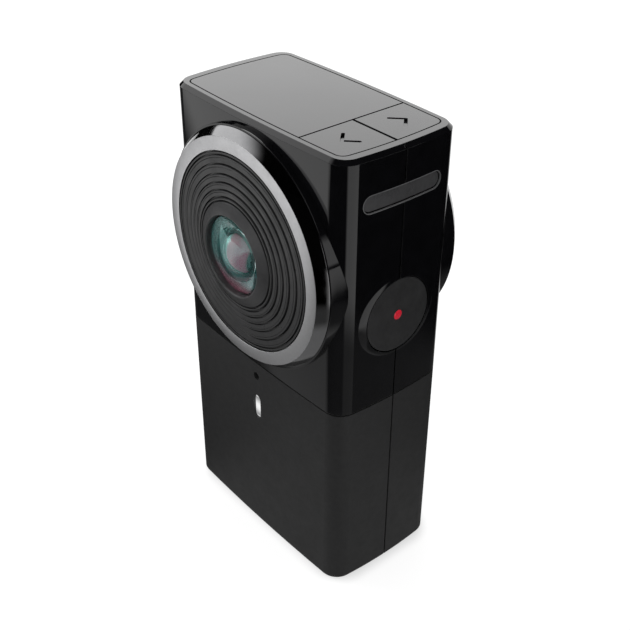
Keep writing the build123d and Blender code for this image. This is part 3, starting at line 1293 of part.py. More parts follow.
def hinge_pin():
    """The pin through the door's barrel into the two lugs."""
    x, y = hinge_place()
    return rod_z(x, y, HINGE_PIN_RADIUS, DOOR_BOTTOM - HINGE_PIN_REACH, DOOR_TOP + HINGE_PIN_REACH)


# Tripod socket


def tripod_bush():
    """The threaded metal bush in the bottom, with a collar inside against pulling out."""
    bush = rod_z(0, 0, BUSH_RADIUS, 0, BUSH_HEIGHT)
    collar = BUSH_RADIUS + BUSH_COLLAR_REACH
    bush += rod_z(0, 0, collar, BUSH_HEIGHT, BUSH_HEIGHT + BUSH_COLLAR)
    return bush - rod_z(0, 0, SOCKET_RADIUS, -OVERRUN, SOCKET_DEPTH)


def build():
    """All nodes by name."""
    upper = upper_casing()
    lower = lower_casing()
    nodes = {
        "upper_front_shell": upper_shell(upper, True),
        "upper_rear_shell": upper_shell(upper, False),
        "lower_front_shell": lower_front_shell(lower),
        "lower_rear_shell": lower_rear_shell(lower),
        "chassis_plate": chassis_plate(),
        "body_screws": body_screws(),
        "lens_screws": lens_screws(),
        "thermal_pads": thermal_pads(),
        "sensor_flexes": sensor_flexes(),
        "top_window": top_window(),
        "display_module": display_module(),
        "display_flex": display_flex(),
        "up_button": top_button(1),
        "down_button": top_button(-1),
        "top_switch_board": top_switch_board(),
        "button_switches": button_switches(),
        "shutter_cap": shutter_cap(),
        "shutter_red_insert": red_insert(),
        "shutter_board": shutter_board(),
        "side_light_bar": side_light_bar(),
        "side_light_board": side_light_board(),
        "status_light": status_light(),
        "microphone_boot": microphone_boot(),
        "microphone": microphone(),
        "main_board": main_board(),
        "processor_shield": on_board_front(SHIELD_X_SHARES, SHIELD_Z_SHARES, SHIELD_THICKNESS),
        "buzzer": on_board_front(BUZZER_X_SHARES, BUZZER_Z_SHARES, BUZZER_THICKNESS),
        "usb_socket": usb_socket(),
        "video_socket": video_socket(),
        "card_slot": card_slot(),
        "memory_card": memory_card(),
        "battery": battery(),
        "battery_contacts": battery_contacts(),
        "battery_tray": battery_tray(),
        "door_panel": door_panel(),
        "door_pad": door_pad(),
        "door_hinge_pin": hinge_pin(),
        "door_lock_thumb": lock_thumb(),
        "door_lock_bolt": lock_bolt(),
        "tripod_bush": tripod_bush(),
    }
    for name, front in (("front", True), ("rear", False)):
        nodes[name + "_lens_flange"] = lens_flange(front)
        nodes[name + "_trim_ring"] = trim_ring(front)
        nodes[name + "_ribbed_shroud"] = ribbed_shroud(front)
        nodes[name + "_lens_barrel"] = lens_barrel(front)
        nodes[name + "_dome_glass"] = dome_glass(front)
        nodes[name + "_inner_glasses"] = inner_glasses(front)
        nodes[name + "_glass_spacer"] = glass_spacer(front)
        nodes[name + "_image_sensor"] = image_sensor(front)
        nodes[name + "_sensor_board"] = sensor_board(front)
    return nodes


os.makedirs("parts", exist_ok=True)
for node, shape in build().items():
    export_step(shape, "parts/" + node + ".step")
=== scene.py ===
import json
import math

import bmesh
import bpy
from mathutils import Matrix, Vector


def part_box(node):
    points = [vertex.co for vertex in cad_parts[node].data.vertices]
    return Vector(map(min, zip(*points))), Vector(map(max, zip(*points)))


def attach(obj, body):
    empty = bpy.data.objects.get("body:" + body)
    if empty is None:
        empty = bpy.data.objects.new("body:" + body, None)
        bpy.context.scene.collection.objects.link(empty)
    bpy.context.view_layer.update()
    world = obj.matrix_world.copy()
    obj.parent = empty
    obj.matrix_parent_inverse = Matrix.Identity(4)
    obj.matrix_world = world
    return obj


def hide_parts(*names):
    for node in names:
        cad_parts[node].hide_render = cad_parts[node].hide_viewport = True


# A hand-held 360 degree camera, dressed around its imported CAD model. Sizes are written in
# millimetres and turned into metres by MM. The front lens faces -Y, the shutter button +X.

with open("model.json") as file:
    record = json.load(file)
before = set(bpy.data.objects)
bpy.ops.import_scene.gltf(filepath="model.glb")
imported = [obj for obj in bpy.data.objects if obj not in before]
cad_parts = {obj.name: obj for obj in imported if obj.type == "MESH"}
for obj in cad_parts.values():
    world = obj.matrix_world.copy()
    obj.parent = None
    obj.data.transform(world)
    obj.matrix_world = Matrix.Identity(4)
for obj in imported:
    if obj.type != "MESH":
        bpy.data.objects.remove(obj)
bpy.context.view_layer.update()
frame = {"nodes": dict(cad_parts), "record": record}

MM = 0.001
HALF_WIDTH = 27.4
HALF_DEPTH = 15.35
ROUND_STEPS = 192
GLASS_STEPS = 128
SHARP_ANGLE = math.radians(32)
MERGE_REACH = 0.0001
NO_RADIUS = 0.000001


def box_of(node):
    """A node's lowest and highest corner, in millimetres."""
    return [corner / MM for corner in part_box(node)]


def middle_of(node):
    """The middle of a node's box, in millimetres."""
    low, high = box_of(node)
    return (low + high) / 2


LENS_HEIGHT = middle_of("front_trim_ring").z
STATUS_HEIGHT = middle_of("status_light").z
LIGHT_BAR_HEIGHT = middle_of("side_light_bar").z


# Node trees of materials and of the world

NOISE_LOW, NOISE_HIGH = 0.3, 0.7


def opaque(colour):
    """A colour with full alpha, as sockets take it."""
    return (*colour, 1)


def grey(level):
    """A neutral colour."""
    return (level, level, level)


class Graph:
    """A node tree, with short ways to add nodes and to join them."""

    def __init__(self, owner):
        owner.use_nodes = True
        self.nodes = owner.node_tree.nodes
        self.links = owner.node_tree.links

    def fill(self, node, inputs):
        """Joins a node's inputs to other nodes' outputs, or sets them to values."""
        for socket, value in inputs.items():
            if isinstance(value, bpy.types.NodeSocket):
                self.links.new(value, node.inputs[socket])
            else:
                node.inputs[socket].default_value = value

    def add(self, kind, inputs, output, **settings):
        """Adds a node with its settings and inputs, and returns one of its outputs."""
        node = self.nodes.new("ShaderNode" + kind)
        for name, value in settings.items():
            setattr(node, name, value)
        self.fill(node, inputs)
        return node.outputs[output]

    def place(self):
        """The object's own coordinates, in metres."""
        return self.add("TexCoord", {}, "Object")

    def split(self, vector):
        """The outputs X, Y and Z of a vector."""
        node = self.nodes.new("ShaderNodeSeparateXYZ")
        self.links.new(vector, node.inputs["Vector"])
        return node.outputs

    def number(self, operation, *values):
        """The result of an operation on numbers."""
        return self.add("Math", dict(enumerate(values)), "Value", operation=operation)

    def vector(self, operation, *values):
        """The result of an operation on vectors: a number for a length or a dot product."""
        output = "Value" if operation in ("LENGTH", "DOT_PRODUCT") else "Vector"
        return self.add("VectorMath", dict(enumerate(values)), output, operation=operation)

    def spread(self, value, start, end, low=0.0, high=1.0, smooth=False):
        """A value carried from one span to another and held at its ends."""
        inputs = {"Value": value, "From Min": start, "From Max": end, "To Min": low, "To Max": high}
        curve = "SMOOTHSTEP" if smooth else "LINEAR"
        return self.add("MapRange", inputs, "Result", interpolation_type=curve)

    def noise(self, place, low, high, scale, detail):
        """Noise between two values."""
        noise = self.add("TexNoise", {"Vector": place, "Scale": scale, "Detail": detail}, "Fac")
        return self.spread(noise, NOISE_LOW, NOISE_HIGH, low, high)

    def mix(self, share, first, second):
        """Two colours mixed by a share."""
        inputs = {"Factor": share, "A": first, "B": second}
        return self.add("Mix", inputs, "Result", data_type="RGBA")

    def ramp(self, place, stops):
        """The colour at a place from 0 to 1 between stops, each a pair of place and colour."""
        node = self.nodes.new("ShaderNodeValToRGB")
        elements = node.color_ramp.elements
        while len(elements) < len(stops):
            elements.new(0.5)
        for element, (position, colour) in zip(elements, stops):
            element.position = position
            element.color = opaque(colour)
        self.links.new(place, node.inputs["Fac"])
        return node.outputs["Color"]

    def seen(self):
        """1 for camera, glossy and transmission rays, 0 for the light that falls on things."""
        rays = self.nodes.new("ShaderNodeLightPath").outputs
        either = rays["Is Camera Ray"]
        for name in ("Is Glossy Ray", "Is Transmission Ray"):
            either = self.number("MAXIMUM", either, rays[name])
        return either

    def glow_only(self, inputs):
        """Makes a material plain emission."""
        self.nodes.remove(self.nodes["Principled BSDF"])
        glow = self.add("Emission", inputs, "Emission")
        self.fill(self.nodes["Material Output"], {"Surface": glow})


# Finishes

TONE_DETAIL, ROUGH_DETAIL, GRAIN_DETAIL = 4.0, 5.0, 3.0
# The patches of uneven roughness are this many times as wide as those of the tone
ROUGH_PATCH = 3
BUMP_STRENGTH = 0.6
EDGE_SAMPLES = 4
COAT_ROUGHNESS = 0.05


def finish(name, colour, rough, tone_swing, tone_scale, rough_swing, grain_scale, grain_depth,
           edge=0.0, metal=0.0, coat=0.0, sheen=0.0, transmission=0.0, ior=1.5, specular=0.5,
           glow=0.0):
    """A procedural finish: toned colour, uneven roughness and a fine grain in the surface."""
    material = bpy.data.materials.new(name)
    graph = Graph(material)
    place = graph.place()
    dark = opaque([c * (1 - tone_swing) for c in colour])
    pale = opaque([min(1, c * (1 + tone_swing)) for c in colour])
    tint = graph.mix(graph.noise(place, 0, 1, tone_scale, TONE_DETAIL), dark, pale)
    smoothest, roughest = rough * (1 - rough_swing), rough * (1 + rough_swing)
    bump = {"Strength": BUMP_STRENGTH, "Distance": grain_depth * MM,
            "Height": graph.noise(place, 0, 1, grain_scale, GRAIN_DETAIL)}
    if edge:
        bump["Normal"] = graph.add("Bevel", {"Radius": edge * MM}, "Normal", samples=EDGE_SAMPLES)
    graph.fill(graph.nodes["Principled BSDF"], {
        "Base Color": tint,
        "Roughness": graph.noise(place, smoothest, roughest, tone_scale / ROUGH_PATCH, ROUGH_DETAIL),
        "Normal": graph.add("Bump", bump, "Normal"),
        "Metallic": metal,
        "Coat Weight": coat,
        "Coat Roughness": COAT_ROUGHNESS,
        "Sheen Weight": sheen,
        "Transmission Weight": transmission,
        "IOR": ior,
        "Specular IOR Level": specular,
        # A glow, where a finish has one, is painted light in the finish's own colour
        "Emission Color": tint if glow else opaque(grey(1)),
        "Emission Strength": glow,
    })
    return material


# For each finish: colour, roughness, swing and scale of the tone, swing of the roughness, scale
# and depth of the grain, and other values by name
FINISH_VALUES = {
    "gloss_black": ((0.006, 0.006, 0.007), 0.05, 0.15, 300, 0.4, 160, 0.0004, {"edge": 0.09}),
    "matt_black": ((0.036, 0.036, 0.0365), 0.52, 0.08, 900, 0.08, 5200, 0.005,
                   {"edge": 0.06, "specular": 0.35}),
    "shroud_black": ((0.036, 0.036, 0.037), 0.34, 0.1, 900, 0.2, 4200, 0.004, {}),
    # The mouth cone's finish is the shroud's black painted lighter, as painted light
    "cone_black_painted_lighter": ((0.08, 0.08, 0.082), 0.34, 0.1, 900, 0.2, 4200, 0.004, {}),
    # A grey edge round the light bar, as a painted highlight on the gloss black shell
    "painted_highlight_grey": ((0.2, 0.2, 0.205), 0.3, 0.1, 900, 0.2, 3000, 0.002, {}),
    "satin_metal": ((0.64, 0.64, 0.65), 0.36, 0.03, 1500, 0.08, 5200, 0.0012, {"metal": 1.0}),
    "dark_chrome": ((0.26, 0.26, 0.265), 0.09, 0.04, 1200, 0.4, 2600, 0.0003, {"metal": 1.0}),
    "clear_glass": ((0.97, 0.99, 1.0), 0.01, 0.01, 300, 0.08, 200, 0.0001,
                    {"transmission": 1.0, "ior": 1.46}),
    "barrel_metal": ((0.01, 0.01, 0.011), 0.4, 0.15, 900, 0.2, 3800, 0.004, {}),
    "plate_grey": ((0.012, 0.012, 0.013), 0.09, 0.1, 240, 0.4, 180, 0.0006, {"edge": 0.05}),
    "button_grey": ((0.012, 0.012, 0.013), 0.12, 0.1, 240, 0.4, 260, 0.0008, {"edge": 0.05}),
    "shutter_black": ((0.038, 0.038, 0.039), 0.36, 0.1, 900, 0.2, 5200, 0.004, {"edge": 0.08}),
    # The red mark's glow is painted light that brightens it; the mark is no lamp
    "red_mark": ((0.98, 0.03, 0.06), 0.15, 0.05, 900, 0.2, 500, 0.001,
                 {"coat": 0.6, "glow": 0.12}),
    "smoked_light": ((0.085, 0.085, 0.088), 0.32, 0.08, 900, 0.2, 3000, 0.002, {"edge": 0.22}),
    "white_light": ((0.42, 0.425, 0.43), 0.25, 0.04, 900, 0.2, 900, 0.003, {"coat": 0.4}),
    "chassis_metal": ((0.55, 0.56, 0.58), 0.35, 0.05, 500, 0.24, 1800, 0.006, {"metal": 1.0}),
    "screw_steel": ((0.42, 0.42, 0.44), 0.3, 0.08, 1500, 0.24, 2600, 0.004, {"metal": 1.0}),
    "pad_rubber": ((0.06, 0.065, 0.075), 0.75, 0.15, 1200, 0.16, 2600, 0.02, {"sheen": 0.2}),
    "flex_film": ((0.42, 0.2, 0.035), 0.3, 0.15, 600, 0.2, 900, 0.004, {"coat": 0.3}),
    "display_dark": ((0.01, 0.011, 0.014), 0.1, 0.1, 600, 0.2, 400, 0.001, {}),
    "board_green": ((0.012, 0.09, 0.04), 0.38, 0.3, 1400, 0.2, 1700, 0.012, {}),
    "switch_black": ((0.02, 0.02, 0.021), 0.5, 0.15, 900, 0.2, 2600, 0.008, {}),
    "socket_steel": ((0.6, 0.6, 0.62), 0.28, 0.05, 1200, 0.24, 2600, 0.004, {"metal": 1.0}),
    "chip_dark": ((0.02, 0.025, 0.05), 0.12, 0.3, 1500, 0.2, 900, 0.002, {}),
    "card_black": ((0.015, 0.015, 0.016), 0.4, 0.12, 900, 0.2, 3200, 0.006, {}),
    "battery_wrap": ((0.035, 0.036, 0.04), 0.32, 0.12, 400, 0.2, 1400, 0.008, {"coat": 0.2}),
    "contact_gold": ((0.8, 0.52, 0.16), 0.22, 0.06, 1200, 0.2, 2200, 0.003, {"metal": 1.0}),
    "lock_dark": ((0.024, 0.024, 0.025), 0.4, 0.12, 900, 0.2, 4200, 0.006, {"edge": 0.06}),
    "bush_brass": ((0.55, 0.5, 0.4), 0.28, 0.06, 1200, 0.24, 2400, 0.004, {"metal": 1.0}),
}
FINISHES = {name: finish(name, *values[:-1], **values[-1])
            for name, values in FINISH_VALUES.items()}


# Painted light on the status light: a glow strong in its middle, weak around it, and brighter again at
# its ends as a painted highlight

STATUS_PAINTED_LIGHT_REACH = 3.2
# Pairs of a share of that reach and the strength there
STATUS_PAINTED_LIGHT = [(0.0, 0.78), (0.2, 0.72), (0.6, 0.2), (0.76, 0.12), (0.84, 0.6), (1.0, 0.6)]


def paint_light_along(material, height, reach, levels):
    """Paints light into a finish as a glow, set by its distance above or below a height."""
    graph = Graph(material)
    above = graph.number("SUBTRACT", graph.split(graph.place())["Z"], height * MM)
    share = graph.spread(graph.number("ABSOLUTE", above), 0, reach * MM)
    level = graph.ramp(share, [(position, grey(value)) for position, value in levels])
    graph.fill(graph.nodes["Principled BSDF"], {"Emission Strength": level})


paint_light_along(FINISHES["white_light"], STATUS_HEIGHT, STATUS_PAINTED_LIGHT_REACH, STATUS_PAINTED_LIGHT)


# Coated glasses, their tints coating colour with painted reflections and painted shade

COATED_BODY = ((0.96, 0.99, 1.0), 0.01, 0.01, 300, 0.08, 200, 0.0001)
COATING_ROUGHNESS = 0.04
COATING_BLEND = 0.35
GRAZING_GAIN = 2.2
RIM_FADE = 0.1
TEAL, PALE_TEAL, MINT = (0.13, 0.42, 0.4), (0.42, 0.78, 0.72), (0.5, 0.95, 0.8)
ROSE, PALE_ROSE, MAUVE = (0.55, 0.14, 0.24), (1.0, 0.36, 0.48), (0.7, 0.15, 0.29)
# Dark at the rim of a glass, and as painted shade at one side of the ball
DARK_RIM = (0.004, 0.004, 0.005)


def coated_glass(name, stops, direction, reach, strength, haze, ior, clear_radius):
    """Clear glass under a coloured coating whose tint, with painted reflections in it, runs across the
    lens, with a soft bloom.
    """
    material = finish(name, *COATED_BODY, transmission=1.0, ior=ior)
    graph = Graph(material)
    clear = graph.nodes["Principled BSDF"].outputs["BSDF"]
    from_middle = graph.vector("SUBTRACT", graph.place(), (0, 0, LENS_HEIGHT * MM))
    across = graph.vector("DOT_PRODUCT", from_middle, direction)
    tint = graph.ramp(graph.spread(across, -reach * MM, reach * MM), stops)
    radius = graph.vector("LENGTH", graph.vector("MULTIPLY", from_middle, (1, 0, 1)))
    rim = graph.spread(radius, (clear_radius - RIM_FADE) * MM, (clear_radius + RIM_FADE) * MM)
    shade = graph.mix(rim, tint, opaque(DARK_RIM))
    coating = graph.add("BsdfGlossy", {"Color": shade, "Roughness": COATING_ROUGHNESS}, "BSDF")
    facing = graph.add("LayerWeight", {"Blend": COATING_BLEND}, "Facing")
    weight = graph.spread(facing, 0, 1, strength, min(1.0, strength * GRAZING_GAIN))
    coated = graph.add("MixShader", {"Fac": weight, 1: clear, 2: coating}, "Shader")
    bloom = graph.add("BsdfDiffuse", {"Color": shade}, "BSDF")
    soft = graph.add("MixShader", {"Fac": haze, 1: coated, 2: bloom}, "Shader")
    graph.fill(graph.nodes["Material Output"], {"Surface": soft})
    return material


# The dome's tint is coating colour, with a painted reflection where it is palest
FINISHES["dome_coating"] = coated_glass(
    "dome_coating", [(0.0, PALE_TEAL), (0.4, TEAL), (0.72, TEAL), (0.88, ROSE), (1.0, ROSE)],
    direction=(-0.3, 0, -0.95), reach=8.0, strength=0.14, haze=0.1, ior=1.3, clear_radius=9.0)
# The ball's tint is coating colour, with mint and teal at one side as a painted reflection and a dark
# crescent at the other as painted shade
FINISHES["inner_coating"] = coated_glass(
    "inner_coating", [(0.0, DARK_RIM), (0.07, DARK_RIM), (0.12, MAUVE), (0.3, MAUVE),
                      (0.46, PALE_ROSE), (0.62, PALE_ROSE), (0.76, MINT), (1.0, TEAL)],
    direction=(-0.98, 0, 0.1), reach=4.4, strength=0.22, haze=0.75, ior=1.5, clear_radius=4.45)


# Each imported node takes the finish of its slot

for part in frame["record"]["subparts"]:
    node = frame["nodes"][part["node"]]
    node.data.materials.clear()
    node.data.materials.append(FINISHES[part["material_slot"]])


# Mesh tools

# The most of a side that the rounding of one corner takes
CORNER_SHARE = 0.45


def seat(origin, across, out):
    """The matrix of a place on a face: X across it, Z out of it, all in millimetres."""
    z = Vector(out).normalized()
    x = Vector(across).normalized()
    turn = Matrix((x, z.cross(x), z)).transposed().to_4x4()
    return Matrix.Translation(Vector(origin) * MM) @ turn


def piece(name, mesh_data, slot, body, replaces=(), finish_name=None):
    """Turns a bmesh into a named piece that rides on a body."""
    bmesh.ops.remove_doubles(mesh_data, verts=mesh_data.verts, dist=MERGE_REACH * MM)
    bmesh.ops.recalc_face_normals(mesh_data, faces=mesh_data.faces)
    mesh = bpy.data.meshes.new(name)
    mesh_data.to_mesh(mesh)
    mesh_data.free()
    mesh.shade_smooth()
    mesh.set_sharp_from_angle(angle=SHARP_ANGLE)
    obj = bpy.data.objects.new(name, mesh)
    bpy.context.scene.collection.objects.link(obj)
    mesh.materials.append(FINISHES[finish_name or slot])
    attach(obj, body)
    if replaces:
        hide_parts(*replaces)
    return obj


def rounded(points, radius, steps=3):
    """A closed line of points with each corner rounded off."""
    line = []
    count = len(points)
    for k, (x, y) in enumerate(points):
        corner = Vector((x, y))
        before = Vector(points[k - 1]) - corner
        after = Vector(points[(k + 1) % count]) - corner
        cut = min(radius, before.length * CORNER_SHARE, after.length * CORNER_SHARE)
        start = corner + before.normalized() * cut
        end = corner + after.normalized() * cut
        for step in range(steps + 1):
            t = step / steps
            line.append(tuple(start * (1 - t) ** 2 + corner * 2 * t * (1 - t) + end * t ** 2))
    return line


def divided(line, longest):
    """A closed line of points with its long runs cut into shorter ones."""
    out = []
    for start, end in zip(line, line[1:] + line[:1]):
        cuts = max(1, math.ceil(math.dist(start, end) / longest))
        for step in range(cuts):
            out.append(tuple(a + (b - a) * step / cuts for a, b in zip(start, end)))
    return out


def bridge(made, rings):
    """Joins each ring of vertices to the next. A ring may be a single vertex on the axis."""
    for first, second in zip(rings, rings[1:]):
        count = max(len(first), len(second))
        if count == 1:
            continue
        for k in range(count):
            after = (k + 1) % count
            corners = [first[k % len(first)], first[after % len(first)],
                       second[after % len(second)], second[k % len(second)]]
            made.faces.new([c for i, c in enumerate(corners) if c not in corners[:i]])


def ring_of(made, points, place):
    """Vertices around a place's normal, from pairs of radius and height."""
    ring = []
    for k, (radius, height) in enumerate(points):
        turn = 2 * math.pi * k / len(points)
        point = Vector((radius * math.cos(turn), radius * math.sin(turn), height)) * MM
        ring.append(made.verts.new(place @ point))
    return ring


def turned(profiles, place, steps=ROUND_STEPS):
    """A bmesh of closed profiles of radius and height, turned about a place's normal."""
    made = bmesh.new()
    for profile in profiles:
        rings = [ring_of(made, [point] * (steps if point[0] > NO_RADIUS else 1), place)
                 for point in profile]
        bridge(made, rings + rings[:1])
    return made


def lofted(loops, place, cap=True):
    """A bmesh through closed loops of equal count, each a list of points in millimetres."""
    made = bmesh.new()
    rings = [[made.verts.new(place @ (Vector(p) * MM)) for p in loop] for loop in loops]
    bridge(made, rings)
    if cap:
        made.faces.new(rings[0])
        made.faces.new(rings[-1])
    return made


def pill(length, width, steps=12):
    """The outline of a slot of full length and width, its length along X."""
    radius = width / 2
    reach = length / 2 - radius
    line = []
    for side in (1, -1):
        for k in range(steps + 1):
            turn = -math.pi / 2 + math.pi * k / steps
            line.append((side * (reach + radius * math.cos(turn)), side * radius * math.sin(turn)))
    return line


def dome_line(radius, rim, rise, steps):
    """The curved face of a lens, from the height of its rim to its middle, a rise above that."""
    ball = (radius ** 2 + rise ** 2) / (2 * abs(rise))
    side = 1 if rise > 0 else -1
    centre = rim + rise - side * ball
    widest = math.asin(radius / ball)
    line = []
    for k in range(steps, -1, -1):
        turn = widest * k / steps
        line.append((ball * math.sin(turn), centre + side * ball * math.cos(turn)))
    return line


def blocks(boxes, edge):
    """A bmesh of boxes, each given by two corners in millimetres, with every edge rounded."""
    made = bmesh.new()
    for low, high in boxes:
        size = [(b - a) * MM for a, b in zip(low, high)]
        middle = [(a + b) / 2 * MM for a, b in zip(low, high)]
        place = Matrix.Translation(middle) @ Matrix.Diagonal((*size, 1))
        bmesh.ops.create_cube(made, size=1, matrix=place)
    bmesh.ops.bevel(made, geom=made.edges[:], offset=edge * MM, segments=2, profile=0.5,
                    affect="EDGES")
    return made


# Lens modules. Profiles are pairs of radius about the lens axis and height above the casing.

LENSES = {
    "front": seat((0, -HALF_DEPTH, LENS_HEIGHT), (1, 0, 0), (0, -1, 0)),
    "rear": seat((0, HALF_DEPTH, LENS_HEIGHT), (-1, 0, 0), (0, 1, 0)),
}
PLATE_FRONT = 2.3

# The satin ring and the polished bevel around it
TRIM_EDGE = box_of("front_trim_ring")[1].x
RING_RADIUS = TRIM_EDGE - 1.55
TRIM_SEAT = RING_RADIUS - 0.15
TRIM_INNER = RING_RADIUS - 2.9
TRIM_FOOT, TRIM_LIP, TRIM_TOP, TRIM_RISE = 1.1, 1.22, 3.3, 0.12
RING_SKIRT, RING_EDGE_RUN, RING_EDGE_FALL, RING_ROUNDING = 0.4, 0.04, 0.1, 0.1
BEVEL_SKIRT, BEVEL_ROUNDING = 0.5, 0.06

# The treads of the shroud: a deep groove at each step, a faint one between two steps
SHROUD_RADIUS = TRIM_INNER - 0.28
SHROUD_EDGE, SHROUD_CONE, SHROUD_MOUTH, SHROUD_BACK = 3.35, 4.45, 5.5, 3.65
SHROUD_EDGE_RUN, SHROUD_EDGE_FALL = 0.08, 0.06
BARREL_HOLE = 11.55
TREAD_SLOPE = (SHROUD_CONE - SHROUD_EDGE) / (SHROUD_RADIUS - BARREL_HOLE)
GROOVE_RADII = [20.7, 18.85, 16.9, 15.25, 13.75, 12.35, 11.55]
GROOVE_WIDTH, GROOVE_DEPTH, GROOVE_DRAFT, GROOVE_CHAMFER = 0.3, 0.55, 0.02, 0.05
STEP_RUN, STEP_FALL = 0.06, 0.12
FAINT_SHARE, FAINT_HALF_WIDTH, FAINT_DEPTH = 0.3, 0.09, 0.07

# The cone inside the treads
CONE_START, CONE_SKIRT, CONE_FOOT, CONE_ROUNDING = 11.2, 0.4, 11.15, 0.12
MOUTH_RADIUS, MOUTH_EDGE_RUN, MOUTH_EDGE_FALL = 8.6, 0.25, 0.2

# Curved faces of the glasses: radius, height of the rim, rise of the middle, steps
DOME_OUTSIDE = (8.3, 4.3, 2.4, 40)
DOME_INSIDE = (5.4, 2.9, 3.1, 32)
DOME_FOOT = [(5.6, 2.9), (8.15, 2.9), (8.3, 3.05)]
BALL_FRONT = (4.4, 2.7, 2.5, 32)
BALL_BACK = (4.1, 0.7, 0.5, 16)
BALL_COLLAR_FRONT = [(5.4, 1.75), (4.5, 1.8)]
BALL_COLLAR_BACK = (5.4, 0.7)
REAR_GLASS_BACKS = [-9.0, -4.8]
REAR_GLASS_RADIUS, REAR_GLASS_THICKNESS, REAR_GLASS_RISE, REAR_GLASS_STEPS = 4.1, 2.6, 0.5, 16


def ring_profile():
    """The satin ring."""
    return rounded([(TRIM_INNER, PLATE_FRONT), (TRIM_SEAT, PLATE_FRONT),
                    (TRIM_SEAT, TRIM_TOP - RING_SKIRT),
                    (RING_RADIUS + RING_EDGE_RUN, TRIM_TOP - RING_EDGE_FALL),
                    (RING_RADIUS, TRIM_TOP), (TRIM_INNER, TRIM_TOP + TRIM_RISE)],
                   RING_ROUNDING, steps=4)


def bevel_profile():
    """The polished bevel that slopes from the satin ring to its foot."""
    return rounded([(TRIM_SEAT, TRIM_FOOT), (TRIM_EDGE, TRIM_FOOT), (TRIM_EDGE, TRIM_LIP),
                    (RING_RADIUS, TRIM_TOP), (TRIM_SEAT, TRIM_TOP - BEVEL_SKIRT)], BEVEL_ROUNDING)


def shroud_profile():
    """Treads that rise towards the mouth, with a groove and a fainter line at each step."""
    line = [(BARREL_HOLE, PLATE_FRONT), (SHROUD_RADIUS, PLATE_FRONT),
            (SHROUD_RADIUS, SHROUD_EDGE - SHROUD_EDGE_FALL),
            (SHROUD_RADIUS - SHROUD_EDGE_RUN, SHROUD_EDGE)]
    tread = SHROUD_EDGE
    for outer, following in zip(GROOVE_RADII, GROOVE_RADII[1:] + [None]):
        inner = outer - GROOVE_WIDTH
        floor = tread - GROOVE_DEPTH
        line += [(outer + GROOVE_CHAMFER, tread), (outer, tread - GROOVE_CHAMFER),
                 (outer - GROOVE_DRAFT, floor), (inner + GROOVE_DRAFT, floor)]
        tread = SHROUD_EDGE + TREAD_SLOPE * (SHROUD_RADIUS - outer)
        line += [(inner, tread - STEP_FALL), (inner - STEP_RUN, tread)]
        if following is not None:
            faint = inner - (inner - following) * FAINT_SHARE
            line += [(faint + FAINT_HALF_WIDTH, tread), (faint, tread - FAINT_DEPTH),
                     (faint - FAINT_HALF_WIDTH, tread)]
    return line + [(CONE_START, tread), (CONE_START, tread - CONE_SKIRT), (BARREL_HOLE, SHROUD_BACK)]


def cone_profile():
    """The cone inside the treads, up to its mouth round the dome."""
    return rounded([(CONE_START, SHROUD_CONE - CONE_SKIRT), (CONE_START, SHROUD_CONE),
                    (MOUTH_RADIUS + MOUTH_EDGE_RUN, SHROUD_MOUTH),
                    (MOUTH_RADIUS, SHROUD_MOUTH - MOUTH_EDGE_FALL),
                    (MOUTH_RADIUS, SHROUD_BACK), (CONE_FOOT, SHROUD_BACK)], CONE_ROUNDING)


def dome_profile():
    """The hollow outer glass."""
    return dome_line(*DOME_OUTSIDE) + dome_line(*DOME_INSIDE)[::-1] + DOME_FOOT


def inner_profiles():
    """The ball-shaped glass behind the dome, and two glasses further back."""
    ball = dome_line(*BALL_FRONT) + dome_line(*BALL_BACK)[::-1]
    profiles = [BALL_COLLAR_FRONT + ball + [BALL_COLLAR_BACK]]
    for back in REAR_GLASS_BACKS:
        front_face = dome_line(REAR_GLASS_RADIUS, back + REAR_GLASS_THICKNESS, REAR_GLASS_RISE,
                               REAR_GLASS_STEPS)
        back_face = dome_line(REAR_GLASS_RADIUS, back, -REAR_GLASS_RISE, REAR_GLASS_STEPS)
        profiles.append(front_face + back_face[::-1])
    return profiles


def lens_module(end, place):
    """Ring, shroud and glasses of one lens."""
    trim, shroud = [f"{end}_trim_ring"], [f"{end}_ribbed_shroud"]
    piece(f"{end}_satin_ring", turned([ring_profile()], place), "satin_metal", "camera", trim)
    piece(f"{end}_polished_bevel", turned([bevel_profile()], place), "satin_metal", "camera", trim,
          "dark_chrome")
    piece(f"{end}_turned_shroud", turned([shroud_profile()], place), "shroud_black", "camera", shroud)
    # The mouth cone takes a lighter copy of the shroud's black: painted light
    piece(f"{end}_mouth_cone", turned([cone_profile()], place), "shroud_black", "camera", shroud,
          "cone_black_painted_lighter")
    piece(f"{end}_dome", turned([dome_profile()], place, GLASS_STEPS), "clear_glass", "camera",
          [f"{end}_dome_glass"], "dome_coating")
    piece(f"{end}_inner_elements", turned(inner_profiles(), place, GLASS_STEPS), "clear_glass",
          "camera", [f"{end}_inner_glasses"], "inner_coating")


for lens_end, lens_place in LENSES.items():
    lens_module(lens_end, lens_place)


# Status light, from the board outwards: length, width and height of each loop

STATUS_LOOPS = [(6.36, 2.36, -7.3), (6.36, 2.36, -2.65), (7.9, 3.9, -2.65), (8.0, 4.0, -2.55),
                (8.0, 4.0, -1.95), (7.9, 3.9, -1.85), (6.36, 2.36, -1.85), (6.36, 2.36, -0.6),
                (5.9, 1.9, -0.6), (5.9, 1.9, -0.36), (5.78, 1.78, -0.3), (5.2, 1.2, -0.26),
                (4.4, 0.4, -0.25)]


def status_lens():
    """The clear guide of the status light, with a flange inside the wall and a crowned face."""
    place = seat((0, -HALF_DEPTH, STATUS_HEIGHT), (0, 0, 1), (0, -1, 0))
    return lofted([[(x, y, height) for x, y in pill(length, width)]
                   for length, width, height in STATUS_LOOPS], place)


piece("status_lens", status_lens(), "white_light", "camera", ["status_light"])


